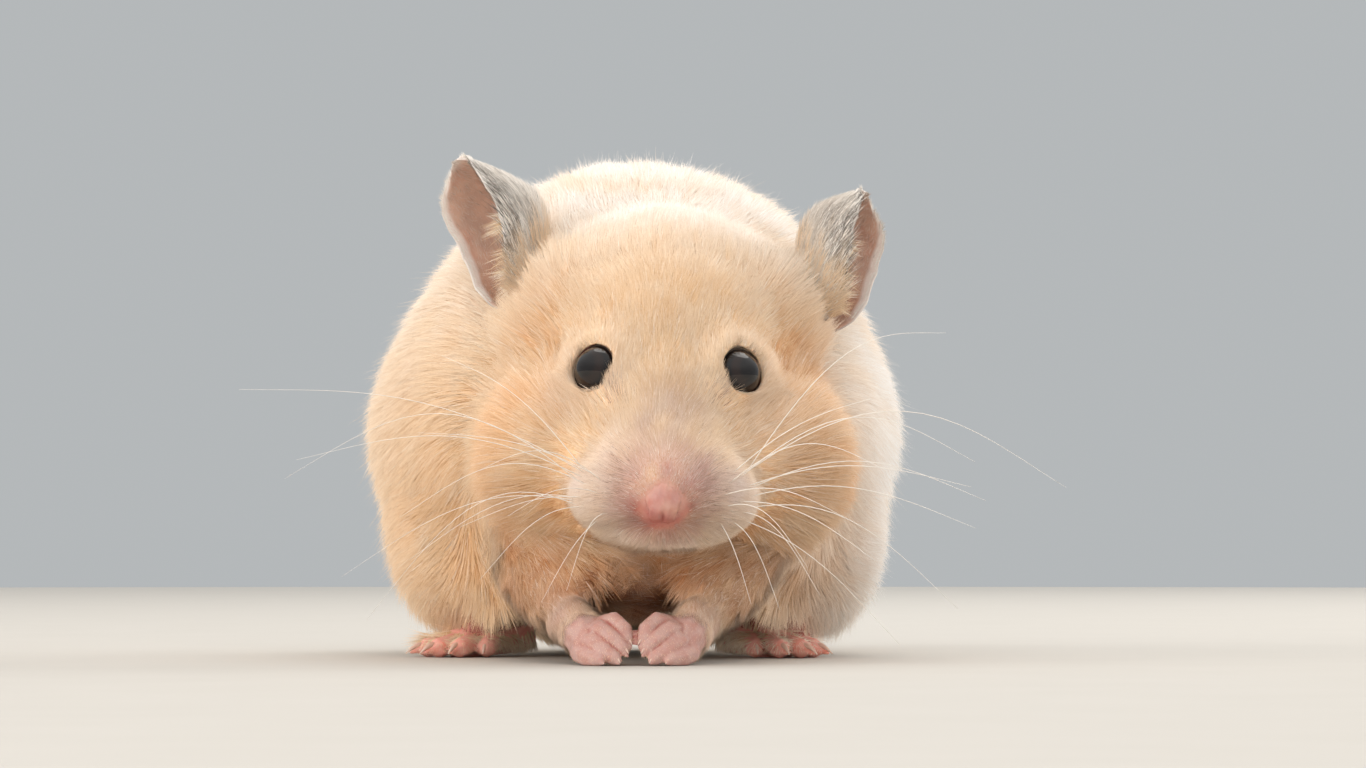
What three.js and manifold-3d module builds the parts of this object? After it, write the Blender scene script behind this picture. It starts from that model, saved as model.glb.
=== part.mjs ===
// A Syrian hamster at life size, crouched on the floor with its hands together under its chin.
// Millimetres, +Z up. The hamster faces -Y, so its own left side is at +X. The floor is at z = 0.
// The solids follow the outside of the short coat. Flesh is modelled whole as one soft form and parted
// with thin cuts, and feet, ears, eyes, nose and whiskers are pieces of their own.
import * as THREE from "three";
import { mergeVertices } from "three/addons/utils/BufferGeometryUtils.js";
import Module from "manifold-3d";

const wasm = await Module();
wasm.setup();

// ---------------------------------------------------------------------------------------------------
// Driving dimensions
// ---------------------------------------------------------------------------------------------------

const GAP = 0.3; // clearance between pieces that touch
const EAR_GAP = 0.5; // the coat is coarser than the foot of an ear, so it keeps further off
const FINEST_FORM = 0.03; // forms smaller than this are smoothed away
const WELD = 1e-4; // points nearer than this are one point
const RAY_REACH = 130; // longer than any ray from inside the hamster to its outside
const RAY_STEPS = 220;
const RAY_STRIDE = 0.6; // share of the distance to the surface that a ray moves at each step
const ON_SURFACE = 0.002; // a point this near a surface lies on it
const SOONEST = 0.001; // the shortest move of a ray
const MOST_POINTS = 1e6; // more than the points of any surface
const SIDES = { left: 1, right: -1 }; // the hamster's own sides, as the sign of x

const UPWARDS = new THREE.Vector3(0, 0, 1);
const FORWARDS = new THREE.Vector3(0, -1, 0);

const BODY_CENTRE = new THREE.Vector3(-1.5, 12, 30);
const HEAD_CENTRE = new THREE.Vector3(3, -27, 32);
const HEAD_ROLL = THREE.MathUtils.degToRad(1.6); // the head leans a little to its left

const BELLY_CLEARANCE = 1.6; // the coat of the belly hangs this far above the floor

const EYE_RADIUS = 3.05;
const EYE = new THREE.Vector3(8, -37.1, 34.6); // of the left eye, from the head's middle plane
const EYE_FACES = new THREE.Vector3(0.64, -0.73, 0.23).normalize();
const LID_LIFT = 1.45; // how far out from the eye's centre the rim of the lids lies
const LID_REACH = 3.45; // from the eye's centre to the middle of that rim
const LID_THICKNESS = 0.45;

const EAR_THICKNESS = 0.85;
const EAR_RIM_THINNING = 0.35; // share of the thickness that the rim has lost at the tip
const EAR_LENGTH_STEPS = 11;
const EAR_WIDTH_STEPS = 8;

const WHISKER_ROOT_RADIUS = 0.26;
const WHISKER_TIP_RADIUS = 0.09;

// ---------------------------------------------------------------------------------------------------
// Soft forms: a field is a function of a point, negative inside and positive outside
// ---------------------------------------------------------------------------------------------------

/** An ellipsoid mass. pitch turns it about X, so that a positive one lifts its rear end. */
function mass(x, y, z, halfWidth, halfLength, halfHeight, pitch = 0) {
  return {
    at: new THREE.Vector3(x, y, z),
    half: new THREE.Vector3(halfWidth, halfLength, halfHeight),
    turn: new THREE.Quaternion().setFromAxisAngle(
      new THREE.Vector3(1, 0, 0),
      THREE.MathUtils.degToRad(-pitch),
    ),
  };
}

/** The same mass on the left and on the right of x = 0. */
function pair(x, ...rest) {
  return [mass(x, ...rest), mass(-x, ...rest)];
}

function distanceToMass(point, { at, half, turn }) {
  const local = point.clone().sub(at).applyQuaternion(turn);
  const scaled = local.clone().divide(half);
  const steep = scaled.clone().divide(half);
  const reach = scaled.length();
  return (reach * (reach - 1)) / Math.max(steep.length(), 1e-9);
}

/** The lower of two distances, rounded where they meet. */
function blend(a, b, softness) {
  const share = Math.max(softness - Math.abs(a - b), 0) / softness;
  return Math.min(a, b) - (share * share * softness) / 4;
}

function fieldOf(masses, softness) {
  return (point) =>
    masses.reduce(
      (least, each) => blend(least, distanceToMass(point, each), softness),
      Infinity,
    );
}

function distanceToLine(point, line) {
  let least = Infinity;
  const nearest = new THREE.Vector3();
  for (let i = 1; i < line.length; i++) {
    new THREE.Line3(line[i - 1], line[i]).closestPointToPoint(point, true, nearest);
    least = Math.min(least, nearest.distanceTo(point));
  }
  return least;
}

// ---------------------------------------------------------------------------------------------------
// Closed surfaces
// ---------------------------------------------------------------------------------------------------

/** Stretches a ball over a field: each point slides in along its ray until it meets the surface. */
function wrap(field, centre, edgeAt, rounds = 5) {
  const settle = (direction) => {
    let far = RAY_REACH;
    const point = new THREE.Vector3();
    for (let step = 0; step < RAY_STEPS; step++) {
      point.copy(centre).addScaledVector(direction, far);
      const gap = field(point);
      if (gap < ON_SURFACE) break;
      far -= Math.max(gap * RAY_STRIDE, SOONEST);
    }
    return point.clone();
  };
  const ball = new THREE.IcosahedronGeometry(1, 4);
  ball.deleteAttribute("normal");
  ball.deleteAttribute("uv");
  const merged = mergeVertices(ball, WELD);
  const rays = [];
  for (let i = 0; i < merged.attributes.position.count; i++) {
    rays.push(new THREE.Vector3().fromBufferAttribute(merged.attributes.position, i).normalize());
  }
  const points = rays.map(settle);
  let faces = [];
  for (let i = 0; i < merged.index.count; i += 3) {
    faces.push([0, 1, 2].map((k) => merged.index.getX(i + k)));
  }
  for (let round = 0; round < rounds; round++) {
    const middles = new Map();
    const middleOf = (a, b) => {
      const key = Math.min(a, b) * MOST_POINTS + Math.max(a, b);
      if (middles.has(key)) return middles.get(key);
      const between = points[a].clone().lerp(points[b], 0.5);
      let made = -1;
      if (points[a].distanceTo(points[b]) > edgeAt(between)) {
        const ray = between.sub(centre).normalize();
        made = points.length;
        rays.push(ray);
        points.push(settle(ray));
      }
      middles.set(key, made);
      return made;
    };
    faces = faces.flatMap((face) => splitFace(face, middleOf, points));
  }
  return surface(points, faces);
}

/** Splits a triangle at the middles of its long edges, so that its neighbours still match it. */
function splitFace([a, b, c], middleOf, points) {
  const [ab, bc, ca] = [middleOf(a, b), middleOf(b, c), middleOf(c, a)];
  const cuts = [ab, bc, ca].filter((middle) => middle >= 0).length;
  if (cuts === 0) return [[a, b, c]];
  if (cuts === 3) return [[a, ab, ca], [ab, b, bc], [ca, bc, c], [ab, bc, ca]];
  if (cuts === 1) {
    if (ab >= 0) return [[a, ab, c], [ab, b, c]];
    if (bc >= 0) return [[b, bc, a], [bc, c, a]];
    return [[c, ca, b], [ca, a, b]];
  }
  // Two cuts: turn the triangle so that the corner between them comes first.
  if (bc < 0) return twoCuts(a, ab, b, c, ca, points);
  if (ca < 0) return twoCuts(b, bc, c, a, ab, points);
  return twoCuts(c, ca, a, b, bc, points);
}

function twoCuts(corner, first, next, last, second, points) {
  const tip = [corner, first, second];
  const oneWay = points[first].distanceTo(points[last]);
  const other = points[next].distanceTo(points[second]);
  return oneWay < other
    ? [tip, [first, next, last], [first, last, second]]
    : [tip, [first, next, second], [next, last, second]];
}

/** A stack of loops with as many points each, closed flat at both ends. */
function stack(loops) {
  const count = loops[0].length;
  const points = loops.flat();
  const faces = [];
  for (let row = 0; row + 1 < loops.length; row++) {
    for (let i = 0; i < count; i++) {
      const [a, b] = [row * count + i, row * count + ((i + 1) % count)];
      faces.push([a, b, a + count], [b, b + count, a + count]);
    }
  }
  const top = (loops.length - 1) * count;
  for (let i = 0; i + 1 < count / 2; i++) {
    const across = count - 1 - i;
    faces.push([i + 1, i, across], [i + 1, across, across - 1]);
    faces.push([top + i, top + i + 1, top + across], [top + i + 1, top + across - 1, top + across]);
  }
  return surface(points, faces.filter(([a, b, c]) => a !== b && b !== c && c !== a));
}

function surface(points, faces) {
  const geometry = new THREE.BufferGeometry();
  geometry.setAttribute(
    "position",
    new THREE.Float32BufferAttribute(points.flatMap((point) => point.toArray()), 3),
  );
  geometry.setIndex(faces.flat());
  return geometry;
}

/** A limb, toe, claw or hair: round sections along a smooth line, with rounded ends.
 *  Each stop is [x, y, z, radius]. squash flattens the sections, and grow makes all of it thicker. */
function limb(stops, { sides = 8, steps = 6, squash = 1, grow = 0, caps = 2 } = {}) {
  const line = new THREE.CatmullRomCurve3(
    stops.map(([x, y, z]) => new THREE.Vector3(x, y, z)),
    false,
    "centripetal",
  );
  const radiusAt = (t) => {
    const place = Math.min(t, 0.9999) * (stops.length - 1);
    const i = Math.floor(place);
    return THREE.MathUtils.lerp(stops[i][3], stops[i + 1][3], place - i) + grow;
  };
  const start = line.getTangent(0);
  const side = start.clone().cross(Math.abs(start.z) > 0.8 ? FORWARDS : UPWARDS);
  const rings = [];
  const ring = (t, radius, ahead) => {
    const tangent = line.getTangent(t);
    side.projectOnPlane(tangent).normalize(); // carried along the line, so that the skin isn't twisted
    const top = side.clone().cross(tangent).normalize();
    const middle = line.getPoint(t).addScaledVector(tangent, ahead);
    rings.push(
      Array.from({ length: sides }, (_, i) => {
        const angle = ((i + 0.5) * 2 * Math.PI) / sides;
        return middle
          .clone()
          .addScaledVector(side, radius * Math.cos(angle))
          .addScaledVector(top, radius * squash * Math.sin(angle));
      }),
    );
  };
  const capAngle = (k) => (Math.PI / 2) * (1 - (k + 0.35) / (caps + 0.35));
  for (let k = 0; k < caps; k++) {
    const angle = capAngle(k);
    ring(0, radiusAt(0) * Math.cos(angle), -radiusAt(0) * Math.sin(angle));
  }
  for (let i = 0; i <= steps; i++) ring(i / steps, radiusAt(i / steps), 0);
  for (let k = caps - 1; k >= 0; k--) {
    const angle = capAngle(k);
    ring(1, radiusAt(1) * Math.cos(angle), radiusAt(1) * Math.sin(angle));
  }
  return stack(rings);
}

function ellipsoid(x, y, z, halfWidth, halfLength, halfHeight, detail = 3) {
  return new THREE.IcosahedronGeometry(1, detail)
    .scale(halfWidth, halfLength, halfHeight)
    .translate(x, y, z);
}

// ---------------------------------------------------------------------------------------------------
// Solids: joining and cutting
// ---------------------------------------------------------------------------------------------------

function solid(geometry) {
  const bare = geometry.clone();
  for (const name of ["normal", "uv"]) bare.deleteAttribute(name);
  const merged = mergeVertices(bare, WELD);
  const triVerts = new Uint32Array(merged.index.array);
  const make = () =>
    new wasm.Manifold(
      new wasm.Mesh({ numProp: 3, vertProperties: merged.attributes.position.array, triVerts }),
    );
  const made = make();
  if (made.volume() > 0) return made;
  for (let i = 0; i < triVerts.length; i += 3) {
    [triVerts[i + 1], triVerts[i + 2]] = [triVerts[i + 2], triVerts[i + 1]];
  }
  return make();
}

function fuse(geometries) {
  return geometries.map(solid).reduce((whole, each) => whole.add(each));
}

/** The largest closed body of a solid, which leaves out any loose scrap. */
function largest(whole) {
  return whole.decompose().sort((a, b) => b.volume() - a.volume())[0];
}

const floorBlock = solid(new THREE.BoxGeometry(400, 400, 50).translate(0, 0, -25));

/** A piece that stands on the floor, trimmed to a small flat there. */
function trimmed(whole) {
  return largest(whole.subtract(floorBlock));
}

function geometryOf(whole) {
  const mesh = whole.getMesh();
  const positions = new Float32Array(mesh.numVert * 3);
  for (let i = 0; i < mesh.numVert; i++) {
    positions.set(mesh.vertProperties.subarray(i * mesh.numProp, i * mesh.numProp + 3), i * 3);
  }
  const geometry = new THREE.BufferGeometry();
  geometry.setAttribute("position", new THREE.BufferAttribute(positions, 3));
  geometry.setIndex(new THREE.BufferAttribute(mesh.triVerts, 1));
  geometry.computeVertexNormals();
  return geometry;
}

// ---------------------------------------------------------------------------------------------------
// The whole body as one soft form
// ---------------------------------------------------------------------------------------------------

const headPose = new THREE.Matrix4()
  .makeTranslation(HEAD_CENTRE.x, 0, HEAD_CENTRE.z)
  .multiply(new THREE.Matrix4().makeRotationY(HEAD_ROLL))
  .multiply(new THREE.Matrix4().makeTranslation(0, 0, -HEAD_CENTRE.z));
const toHead = headPose.clone().invert();

const torsoMasses = [
  mass(-1.4, 14, 28, 35.4, 35, 26), // hips and belly
  mass(-0.8, 14, 40, 28, 32, 24.6), // arched back
  mass(-2, 30, 25, 27, 25, 22), // rump
  mass(1.6, -8, 28, 26, 21, 20), // shoulders
  mass(2.6, -13, 39, 15, 18, 16.5), // nape
  mass(1, -20, 16.5, 18, 13, 10), // chest
  mass(-0.7, -24.5, 12.6, 12.5, 11.5, 6), // breast, over the forelegs
];
const thighMasses = [
  mass(19.5, 5, 13.6, 11.5, 17, 12), // left
  mass(-21.5, 7, 13.6, 11.5, 17, 12), // right
];
/** The haunches, which the body rests on behind its feet. */
const seatMasses = [
  mass(6.5, 30, 9.4, 9, 10, 9.8), // left
  mass(-10.5, 31, 9.4, 9, 10, 9.8), // right
];
const headMasses = [
  mass(0, -24, 36.5, 15, 21, 14.5, 42), // skull
  ...pair(10.5, -19, 42, 7, 9, 9), // base of each ear
  ...pair(13.2, -27.5, 24.5, 10.2, 13.5, 11.5), // cheeks
  mass(0, -40.5, 24.5, 8.6, 11, 7, 32), // snout
  mass(0, -37.5, 18.4, 9.6, 9.5, 5), // jaw
];
const lipMasses = [
  ...pair(5.3, -43.6, 19.9, 5.8, 5.4, 5.2), // whisker pads
  mass(0, -46, 16.4, 4.4, 3, 2), // chin
  mass(0, -48.7, 19.6, 2.9, 2.3, 2.9), // nose
];
/** The coat parts about the mouth of each ear, and leaves the bowl of the ear open. */
const earHollows = pair(23, -18, 50, 7.5, 10.5, 8.5);
const mouthLine = [
  new THREE.Vector3(9, -42.2, 15.6),
  new THREE.Vector3(7, -45.7, 15.3),
  new THREE.Vector3(3.6, -48.3, 15.6),
  new THREE.Vector3(0, -49.6, 16.2),
  new THREE.Vector3(-3.6, -48.3, 15.6),
  new THREE.Vector3(-7, -45.7, 15.3),
  new THREE.Vector3(-9, -42.2, 15.6),
];
const cleftLine = [new THREE.Vector3(0, -49.6, 16.2), new THREE.Vector3(0, -51, 18)];
const GROOVE_RADIUS = 0.75;

const torsoField = fieldOf(torsoMasses, 9);
const thighField = fieldOf(thighMasses, 4);
const seatField = fieldOf(seatMasses, 2);
const skullField = fieldOf(headMasses, 5);
const muzzleField = fieldOf(lipMasses, 1.6);
const hollowField = fieldOf(earHollows, 1);

/** Eyelids: a rounded ring about each eye. point is in the head's own frame. */
function lidField(point) {
  const folded = new THREE.Vector3(Math.abs(point.x), point.y, point.z);
  const offset = folded.sub(EYE);
  const out = offset.dot(EYE_FACES);
  const away = offset.addScaledVector(EYE_FACES, -out).length();
  const ringRadius = Math.sqrt(LID_REACH ** 2 - LID_LIFT ** 2);
  return Math.hypot(away - ringRadius, out - LID_LIFT) - LID_THICKNESS;
}

function headField(point) {
  const flesh = blend(skullField(point), muzzleField(point), 2.6);
  const lidded = blend(flesh, lidField(point), 1.2);
  const groove = Math.min(distanceToLine(point, mouthLine), distanceToLine(point, cleftLine));
  return -blend(-lidded, groove - GROOVE_RADIUS, 0.5);
}

function bodyField(point) {
  const local = point.clone().applyMatrix4(toHead);
  const trunk = blend(torsoField(point), thighField(point), 6);
  const whole = blend(trunk, headField(local), 5);
  const opened = -blend(-whole, hollowField(local), 3);
  const hanging = -blend(-opened, point.z - BELLY_CLEARANCE, 3);
  return blend(hanging, seatField(point), 4);
}

/** A region of space round a part, as a closed cutter in the body's frame. */
function region(at, half, grow = 0, detail = 9) {
  const [width, length, height] = half.map((size) => size + grow);
  return solid(ellipsoid(...at, width, length, height, detail));
}

// ---------------------------------------------------------------------------------------------------
// Torso, thighs and tail
// ---------------------------------------------------------------------------------------------------

const HEAD_REGION = { at: [HEAD_CENTRE.x, -44, 40], half: [37, 37, 37] };
const THIGH_REGION = {
  left: { at: [23.5, 4, 11.5], half: [13, 18.5, 14.5] },
  right: { at: [-26, 6, 11.5], half: [13, 18.5, 14.5] },
};
const TAIL_STOPS = [
  [-2.6, 47, 15, 3.2],
  [-3.4, 54, 12.4, 2.6],
  [-4.6, 59.5, 11.2, 1.7],
];

/** The longest edges of the trunk, which are finer about its foot. */
function trunkEdge(point) {
  return point.z < 14 ? 6 : 8;
}

function torsoWhole() {
  return solid(wrap(bodyField, BODY_CENTRE, trunkEdge));
}

function thigh(name) {
  const { at, half } = THIGH_REGION[name];
  const centre = new THREE.Vector3(...at);
  const near = (point) => (point.distanceTo(centre) < 26 ? 6 : 14);
  return largest(solid(wrap(bodyField, centre, near)).intersect(region(at, half, 0, 3)));
}

function tail(grow = 0) {
  return solid(limb(TAIL_STOPS, { sides: 8, steps: 4, grow }));
}

// ---------------------------------------------------------------------------------------------------
// Head, nose, eyes and ears. Their sizes are in the head's own frame, about its middle plane
// ---------------------------------------------------------------------------------------------------

const NOSE_REGION = { at: [0, -50.6, 19.8], half: [3.2, 2.9, 3.1] };
const PAD_REGION = { at: [7.3, -45, 19.8], half: [4.6, 5, 4.4] };

/** The longest edges of each part of the head. The hidden part lies inside the trunk. */
const HEAD_EDGES = { eye: 1.3, mouth: 0.85, muzzle: 2.2, face: 4.6, hidden: 16 };
const FINE_MARGIN = 1.25; // how far the fine edges go round an eye or a groove
const MUZZLE = { backY: -40, topZ: 26 };
const FACE_BACK_Y = -12;

function headEdge(point) {
  const local = point.clone().applyMatrix4(toHead);
  const folded = new THREE.Vector3(Math.abs(local.x), local.y, local.z);
  const groove = Math.min(distanceToLine(local, mouthLine), distanceToLine(local, cleftLine));
  if (folded.distanceTo(EYE) < EYE_RADIUS + FINE_MARGIN) return HEAD_EDGES.eye;
  if (groove < FINE_MARGIN) return HEAD_EDGES.mouth;
  if (local.y < MUZZLE.backY && local.z < MUZZLE.topZ) return HEAD_EDGES.muzzle;
  return local.y < FACE_BACK_Y ? HEAD_EDGES.face : HEAD_EDGES.hidden;
}

function headWhole() {
  return solid(wrap(bodyField, HEAD_CENTRE, headEdge, 6));
}

/** A cutter given in the head's frame, turned and moved with the head. */
function inHead(whole) {
  return whole.transform(headPose.elements);
}

function eye(side, grow = 0) {
  const ball = ellipsoid(side * EYE.x, EYE.y, EYE.z, 1, 1, 1, 3)
    .translate(-side * EYE.x, -EYE.y, -EYE.z)
    .scale(EYE_RADIUS + grow, EYE_RADIUS + grow, EYE_RADIUS + grow)
    .translate(side * EYE.x, EYE.y, EYE.z);
  return inHead(solid(ball));
}

/** Each nostril is a short curved slit that opens to the side and runs in under the pad. */
function nostrils() {
  return [1, -1].map((side) =>
    inHead(
      solid(
        limb(
          [
            [side * 1.2, -49.6, 18, 0.4],
            [side * 1.7, -50.8, 18.4, 0.42],
            [side * 2.5, -50.7, 19.3, 0.3],
            [side * 2.9, -50, 20, 0.2],
          ],
          { sides: 5, steps: 3, caps: 1 },
        ),
      ),
    ),
  );
}

/** The ears differ: the right one stands higher and is turned further forwards. */
const EARS = {
  left: { tip: [24.6, -14.5, 58.9], ridge: [17, -12.5, 54], root: [15.4, -16, 44], turn: 66 },
  right: { tip: [-26.9, -14.5, 61.5], ridge: [-17.6, -12.5, 55.5], root: [-15.4, -16, 45.5], turn: 56 },
};
/** Radius of the cup's section, and half of the angle that it spans, from the root to the tip. */
const EAR_SECTION = [
  { along: 0, radius: 3.4, halfAngle: 148 },
  { along: 0.12, radius: 5.1, halfAngle: 136 },
  { along: 0.28, radius: 6.1, halfAngle: 120 },
  { along: 0.5, radius: 6.5, halfAngle: 102 },
  { along: 0.75, radius: 6.3, halfAngle: 83 },
  { along: 0.9, radius: 5.7, halfAngle: 62 },
  { along: 0.97, radius: 5, halfAngle: 40 },
  { along: 1, radius: 4.4, halfAngle: 16 },
];

function earSection(along) {
  const next = Math.max(1, EAR_SECTION.findIndex((stop) => stop.along >= along));
  const [low, high] = [EAR_SECTION[next - 1], EAR_SECTION[next]];
  const share = (along - low.along) / (high.along - low.along);
  return {
    radius: THREE.MathUtils.lerp(low.radius, high.radius, share),
    halfAngle: THREE.MathUtils.degToRad(THREE.MathUtils.lerp(low.halfAngle, high.halfAngle, share)),
  };
}

/** A cupped ear: arcs about a ridge that runs up its back, with a thin rim. */
function ear(name) {
  const side = SIDES[name];
  const { tip, ridge, root, turn } = EARS[name];
  const spine = new THREE.CatmullRomCurve3([root, ridge, tip].map((p) => new THREE.Vector3(...p)));
  const axis = new THREE.Vector3(...tip).sub(new THREE.Vector3(...root)).normalize();
  const forwards = new THREE.Vector3(0, -1, 0).projectOnPlane(axis).normalize();
  const outwards = new THREE.Vector3(side, 0, 0).projectOnPlane(axis).normalize();
  const angle = THREE.MathUtils.degToRad(turn);
  const opening = forwards
    .clone()
    .multiplyScalar(Math.cos(angle))
    .addScaledVector(outwards, Math.sin(angle))
    .projectOnPlane(axis)
    .normalize();
  const across = axis.clone().cross(opening).normalize();
  const loops = [];
  for (let row = 0; row <= EAR_LENGTH_STEPS; row++) {
    const along = row / EAR_LENGTH_STEPS;
    const { radius, halfAngle } = earSection(along);
    const base = spine.getPoint(along);
    const arc = (shift) =>
      Array.from({ length: EAR_WIDTH_STEPS + 1 }, (_, i) => {
        const share = (2 * i) / EAR_WIDTH_STEPS - 1;
        const thin = 1 - EAR_RIM_THINNING * share * share * along;
        const theta = share * halfAngle;
        const out = radius + shift * EAR_THICKNESS * 0.5 * thin;
        return base
          .clone()
          .addScaledVector(across, out * Math.sin(theta))
          .addScaledVector(opening, radius - out * Math.cos(theta));
      });
    loops.push([...arc(1), ...arc(-1).reverse()]);
  }
  return inHead(solid(stack(loops)));
}

// ---------------------------------------------------------------------------------------------------
// Whiskers, rooted in the pads beside the nose
// ---------------------------------------------------------------------------------------------------

/** Rows of whiskers from the top of the pad to the lip. Each row gives the rise in degrees and the
 *  length of its foremost whisker and of its rearmost one. */
const WHISKER_ROWS = [
  { rise: [28, 24], length: [13, 32] },
  { rise: [2, 6], length: [15, 40] },
  { rise: [-24, -9], length: [15, 40] },
  { rise: [-46, -22], length: [13, 34] },
  { rise: [-66, -38], length: [10, 21] },
];
const WHISKER_COLUMNS = 3;
/** The root of the uppermost, foremost whisker, and the way to the rearmost and the lowest one. */
const WHISKER_ROOT = new THREE.Vector3(6.6, -47.8, 21.6);
const WHISKERS_BACK = new THREE.Vector3(2.4, 2.4, 0);
const WHISKERS_DOWN = new THREE.Vector3(-0.8, 0.3, -3.8);
const WHISKER_FORWARDS = [-0.42, 0]; // slope to the front of the foremost whisker and of the rearmost
const WHISKER_UNEVENNESS = { length: 0.06, degrees: 3 };
const WHISKER_STOPS = [0, 0.3, 0.65, 1]; // places along a whisker that its curve passes
const WHISKER_ARCH = 0.1; // rise of the middle above the straight line, as a share of the length

/** The stops of one whisker, from inside the pad to its tip. */
function whiskerStops(side, row, column) {
  const back = column / (WHISKER_COLUMNS - 1);
  const down = row / (WHISKER_ROWS.length - 1);
  const { rise, length } = WHISKER_ROWS[row];
  const uneven = Math.sin(row * 5.1 + column * 2.3 + side);
  const lengthened = 1 + WHISKER_UNEVENNESS.length * uneven;
  const reach = THREE.MathUtils.lerp(...length, back) * lengthened;
  const degrees = THREE.MathUtils.lerp(...rise, back) + WHISKER_UNEVENNESS.degrees * uneven;
  const angle = THREE.MathUtils.degToRad(degrees);
  const forwards = THREE.MathUtils.lerp(...WHISKER_FORWARDS, back);
  const chord = new THREE.Vector3(Math.cos(angle), forwards, Math.sin(angle)).setLength(reach);
  const root = WHISKER_ROOT.clone()
    .addScaledVector(WHISKERS_BACK, back)
    .addScaledVector(WHISKERS_DOWN, down);
  const at = (share) => {
    const arch = 4 * share * (1 - share) * WHISKER_ARCH * reach;
    return root
      .clone()
      .addScaledVector(chord, share)
      .add(new THREE.Vector3(0, -0.7 * arch, arch));
  };
  return WHISKER_STOPS.map((share) => {
    const point = at(share);
    const radius = THREE.MathUtils.lerp(WHISKER_ROOT_RADIUS, WHISKER_TIP_RADIUS, share);
    return [side * point.x, point.y, point.z, radius];
  });
}

function whiskers(side) {
  const hairs = WHISKER_ROWS.flatMap((_, row) =>
    Array.from({ length: WHISKER_COLUMNS }, (__, column) =>
      limb(whiskerStops(side, row, column), { sides: 3, steps: 3, caps: 0 }),
    ),
  );
  return inHead(fuse(hairs));
}

// ---------------------------------------------------------------------------------------------------
// Forelegs and hands
// ---------------------------------------------------------------------------------------------------

const PAW_CENTRE_X = -0.7; // the hands meet here
/** The fingers of a hand from the uppermost to the lowest: root, knuckle, bend and tip. */
const FINGERS = [
  [[4.1, -39.8, 4.6, 1.2], [2.5, -41.9, 5.1, 1.15], [1.35, -43.2, 4.2, 1], [0.95, -43.9, 2.9, 0.75]],
  [[5.2, -40, 3.9, 1.3], [4.1, -42.6, 4, 1.25], [2.6, -44.1, 3, 1.05], [1.35, -44.9, 1.9, 0.75]],
  [[5.9, -40.2, 2.9, 1.3], [5.1, -43.2, 2.6, 1.25], [3.7, -44.9, 1.6, 1.05], [2.3, -45.8, 0.8, 0.8]],
  [[6.6, -40, 1.9, 1.3], [6.3, -42.8, 1.3, 1.2], [5.4, -44.7, 0.8, 1], [4.2, -45.9, 0.65, 0.75]],
];

function foreleg(side, grow = 0) {
  const at = (x, y, z, radius) => [PAW_CENTRE_X + side * x, y, z, radius];
  return limb(
    [at(13, -16, 16, 7), at(12, -24, 11.6, 6.4), at(9.4, -32.5, 7.6, 4.9), at(7, -37.6, 4.9, 3.3)],
    { sides: 10, steps: 7, squash: 1.05, caps: 2, grow },
  );
}

/** A hand: a small palm with four fingers that curl to the middle, each with a claw. */
function hand(side, grow = 0) {
  const at = (x, y, z, radius) => [PAW_CENTRE_X + side * x, y, z, radius];
  const palm = limb([at(7, -37.4, 4.7, 2.6), at(6, -39.8, 3.4, 2.8), at(5.6, -41, 2.6, 2.4)], {
    sides: 8,
    steps: 3,
    squash: 0.95,
    grow,
  });
  const pieces = [palm];
  for (const stops of FINGERS) {
    const finger = stops.map((stop) => at(...stop));
    pieces.push(limb(finger, { sides: 6, steps: 3, caps: 1, grow }));
    const [x, y, z] = stops.at(-1);
    const claw = [at(x + 0.2, y, z, 0.42), at(x - 0.45, y - 0.7, Math.max(z - 0.75, 0.3), 0.2)];
    pieces.push(limb(claw, { sides: 4, steps: 1, caps: 1, grow }));
  }
  return fuse(pieces);
}

// ---------------------------------------------------------------------------------------------------
// Hind feet
// ---------------------------------------------------------------------------------------------------

/** Each hind foot by its heel, the direction that it points and how far its toes spread. */
const HIND_FEET = {
  left: { heel: [11.5, 4.5], heading: 34, spread: 13 },
  right: { heel: [-16.4, 7], heading: 40, spread: 15 },
};
const SOLE_LENGTH = 9.5;
const TOE_LENGTHS = [3.2, 5.2, 5.8, 5.4, 3.8]; // from the inner toe to the outer one

function hindFoot(name, grow = 0) {
  const side = SIDES[name];
  const { heel, heading, spread } = HIND_FEET[name];
  const aim = THREE.MathUtils.degToRad(heading);
  const place = (ahead, aside, z, radius) => {
    const x = Math.sin(aim) * ahead + Math.cos(aim) * aside;
    const y = -Math.cos(aim) * ahead + Math.sin(aim) * aside;
    return [heel[0] + side * x, heel[1] + y, z, radius];
  };
  const ankle = limb([place(-1, 0, 8, 3.6), place(0, 0, 4.4, 3), place(2, 0, 2.8, 2.6)], {
    sides: 8,
    steps: 3,
    grow,
  });
  const sole = limb([place(-0.5, 0, 2.1, 2.2), place(5, 0, 2.1, 2.8), place(SOLE_LENGTH, 0, 1.8, 3)], {
    sides: 8,
    steps: 3,
    squash: 0.72,
    grow,
  });
  const pieces = [ankle, sole];
  TOE_LENGTHS.forEach((length, i) => {
    const aside = i - 2; // -2 for the inner toe and 2 for the outer one
    const fan = THREE.MathUtils.degToRad(aside * spread);
    const start = SOLE_LENGTH - 0.4 - 0.35 * aside * aside;
    const along = (share, z, radius) =>
      place(
        start + Math.cos(fan) * length * share,
        aside * 1.35 + Math.sin(fan) * length * share,
        z,
        radius,
      );
    const toe = [along(-0.3, 1.7, 1.2), along(0.4, 1.75, 1.3), along(1, 1.15, 1.2)];
    pieces.push(limb(toe, { sides: 6, steps: 2, caps: 1, grow }));
    const claw = [along(1.05, 1.1, 0.5), along(1.42, 0.6, 0.2)];
    pieces.push(limb(claw, { sides: 4, steps: 1, caps: 1, grow }));
  });
  return fuse(pieces);
}

// ---------------------------------------------------------------------------------------------------
// Assembly
// ---------------------------------------------------------------------------------------------------

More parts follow.
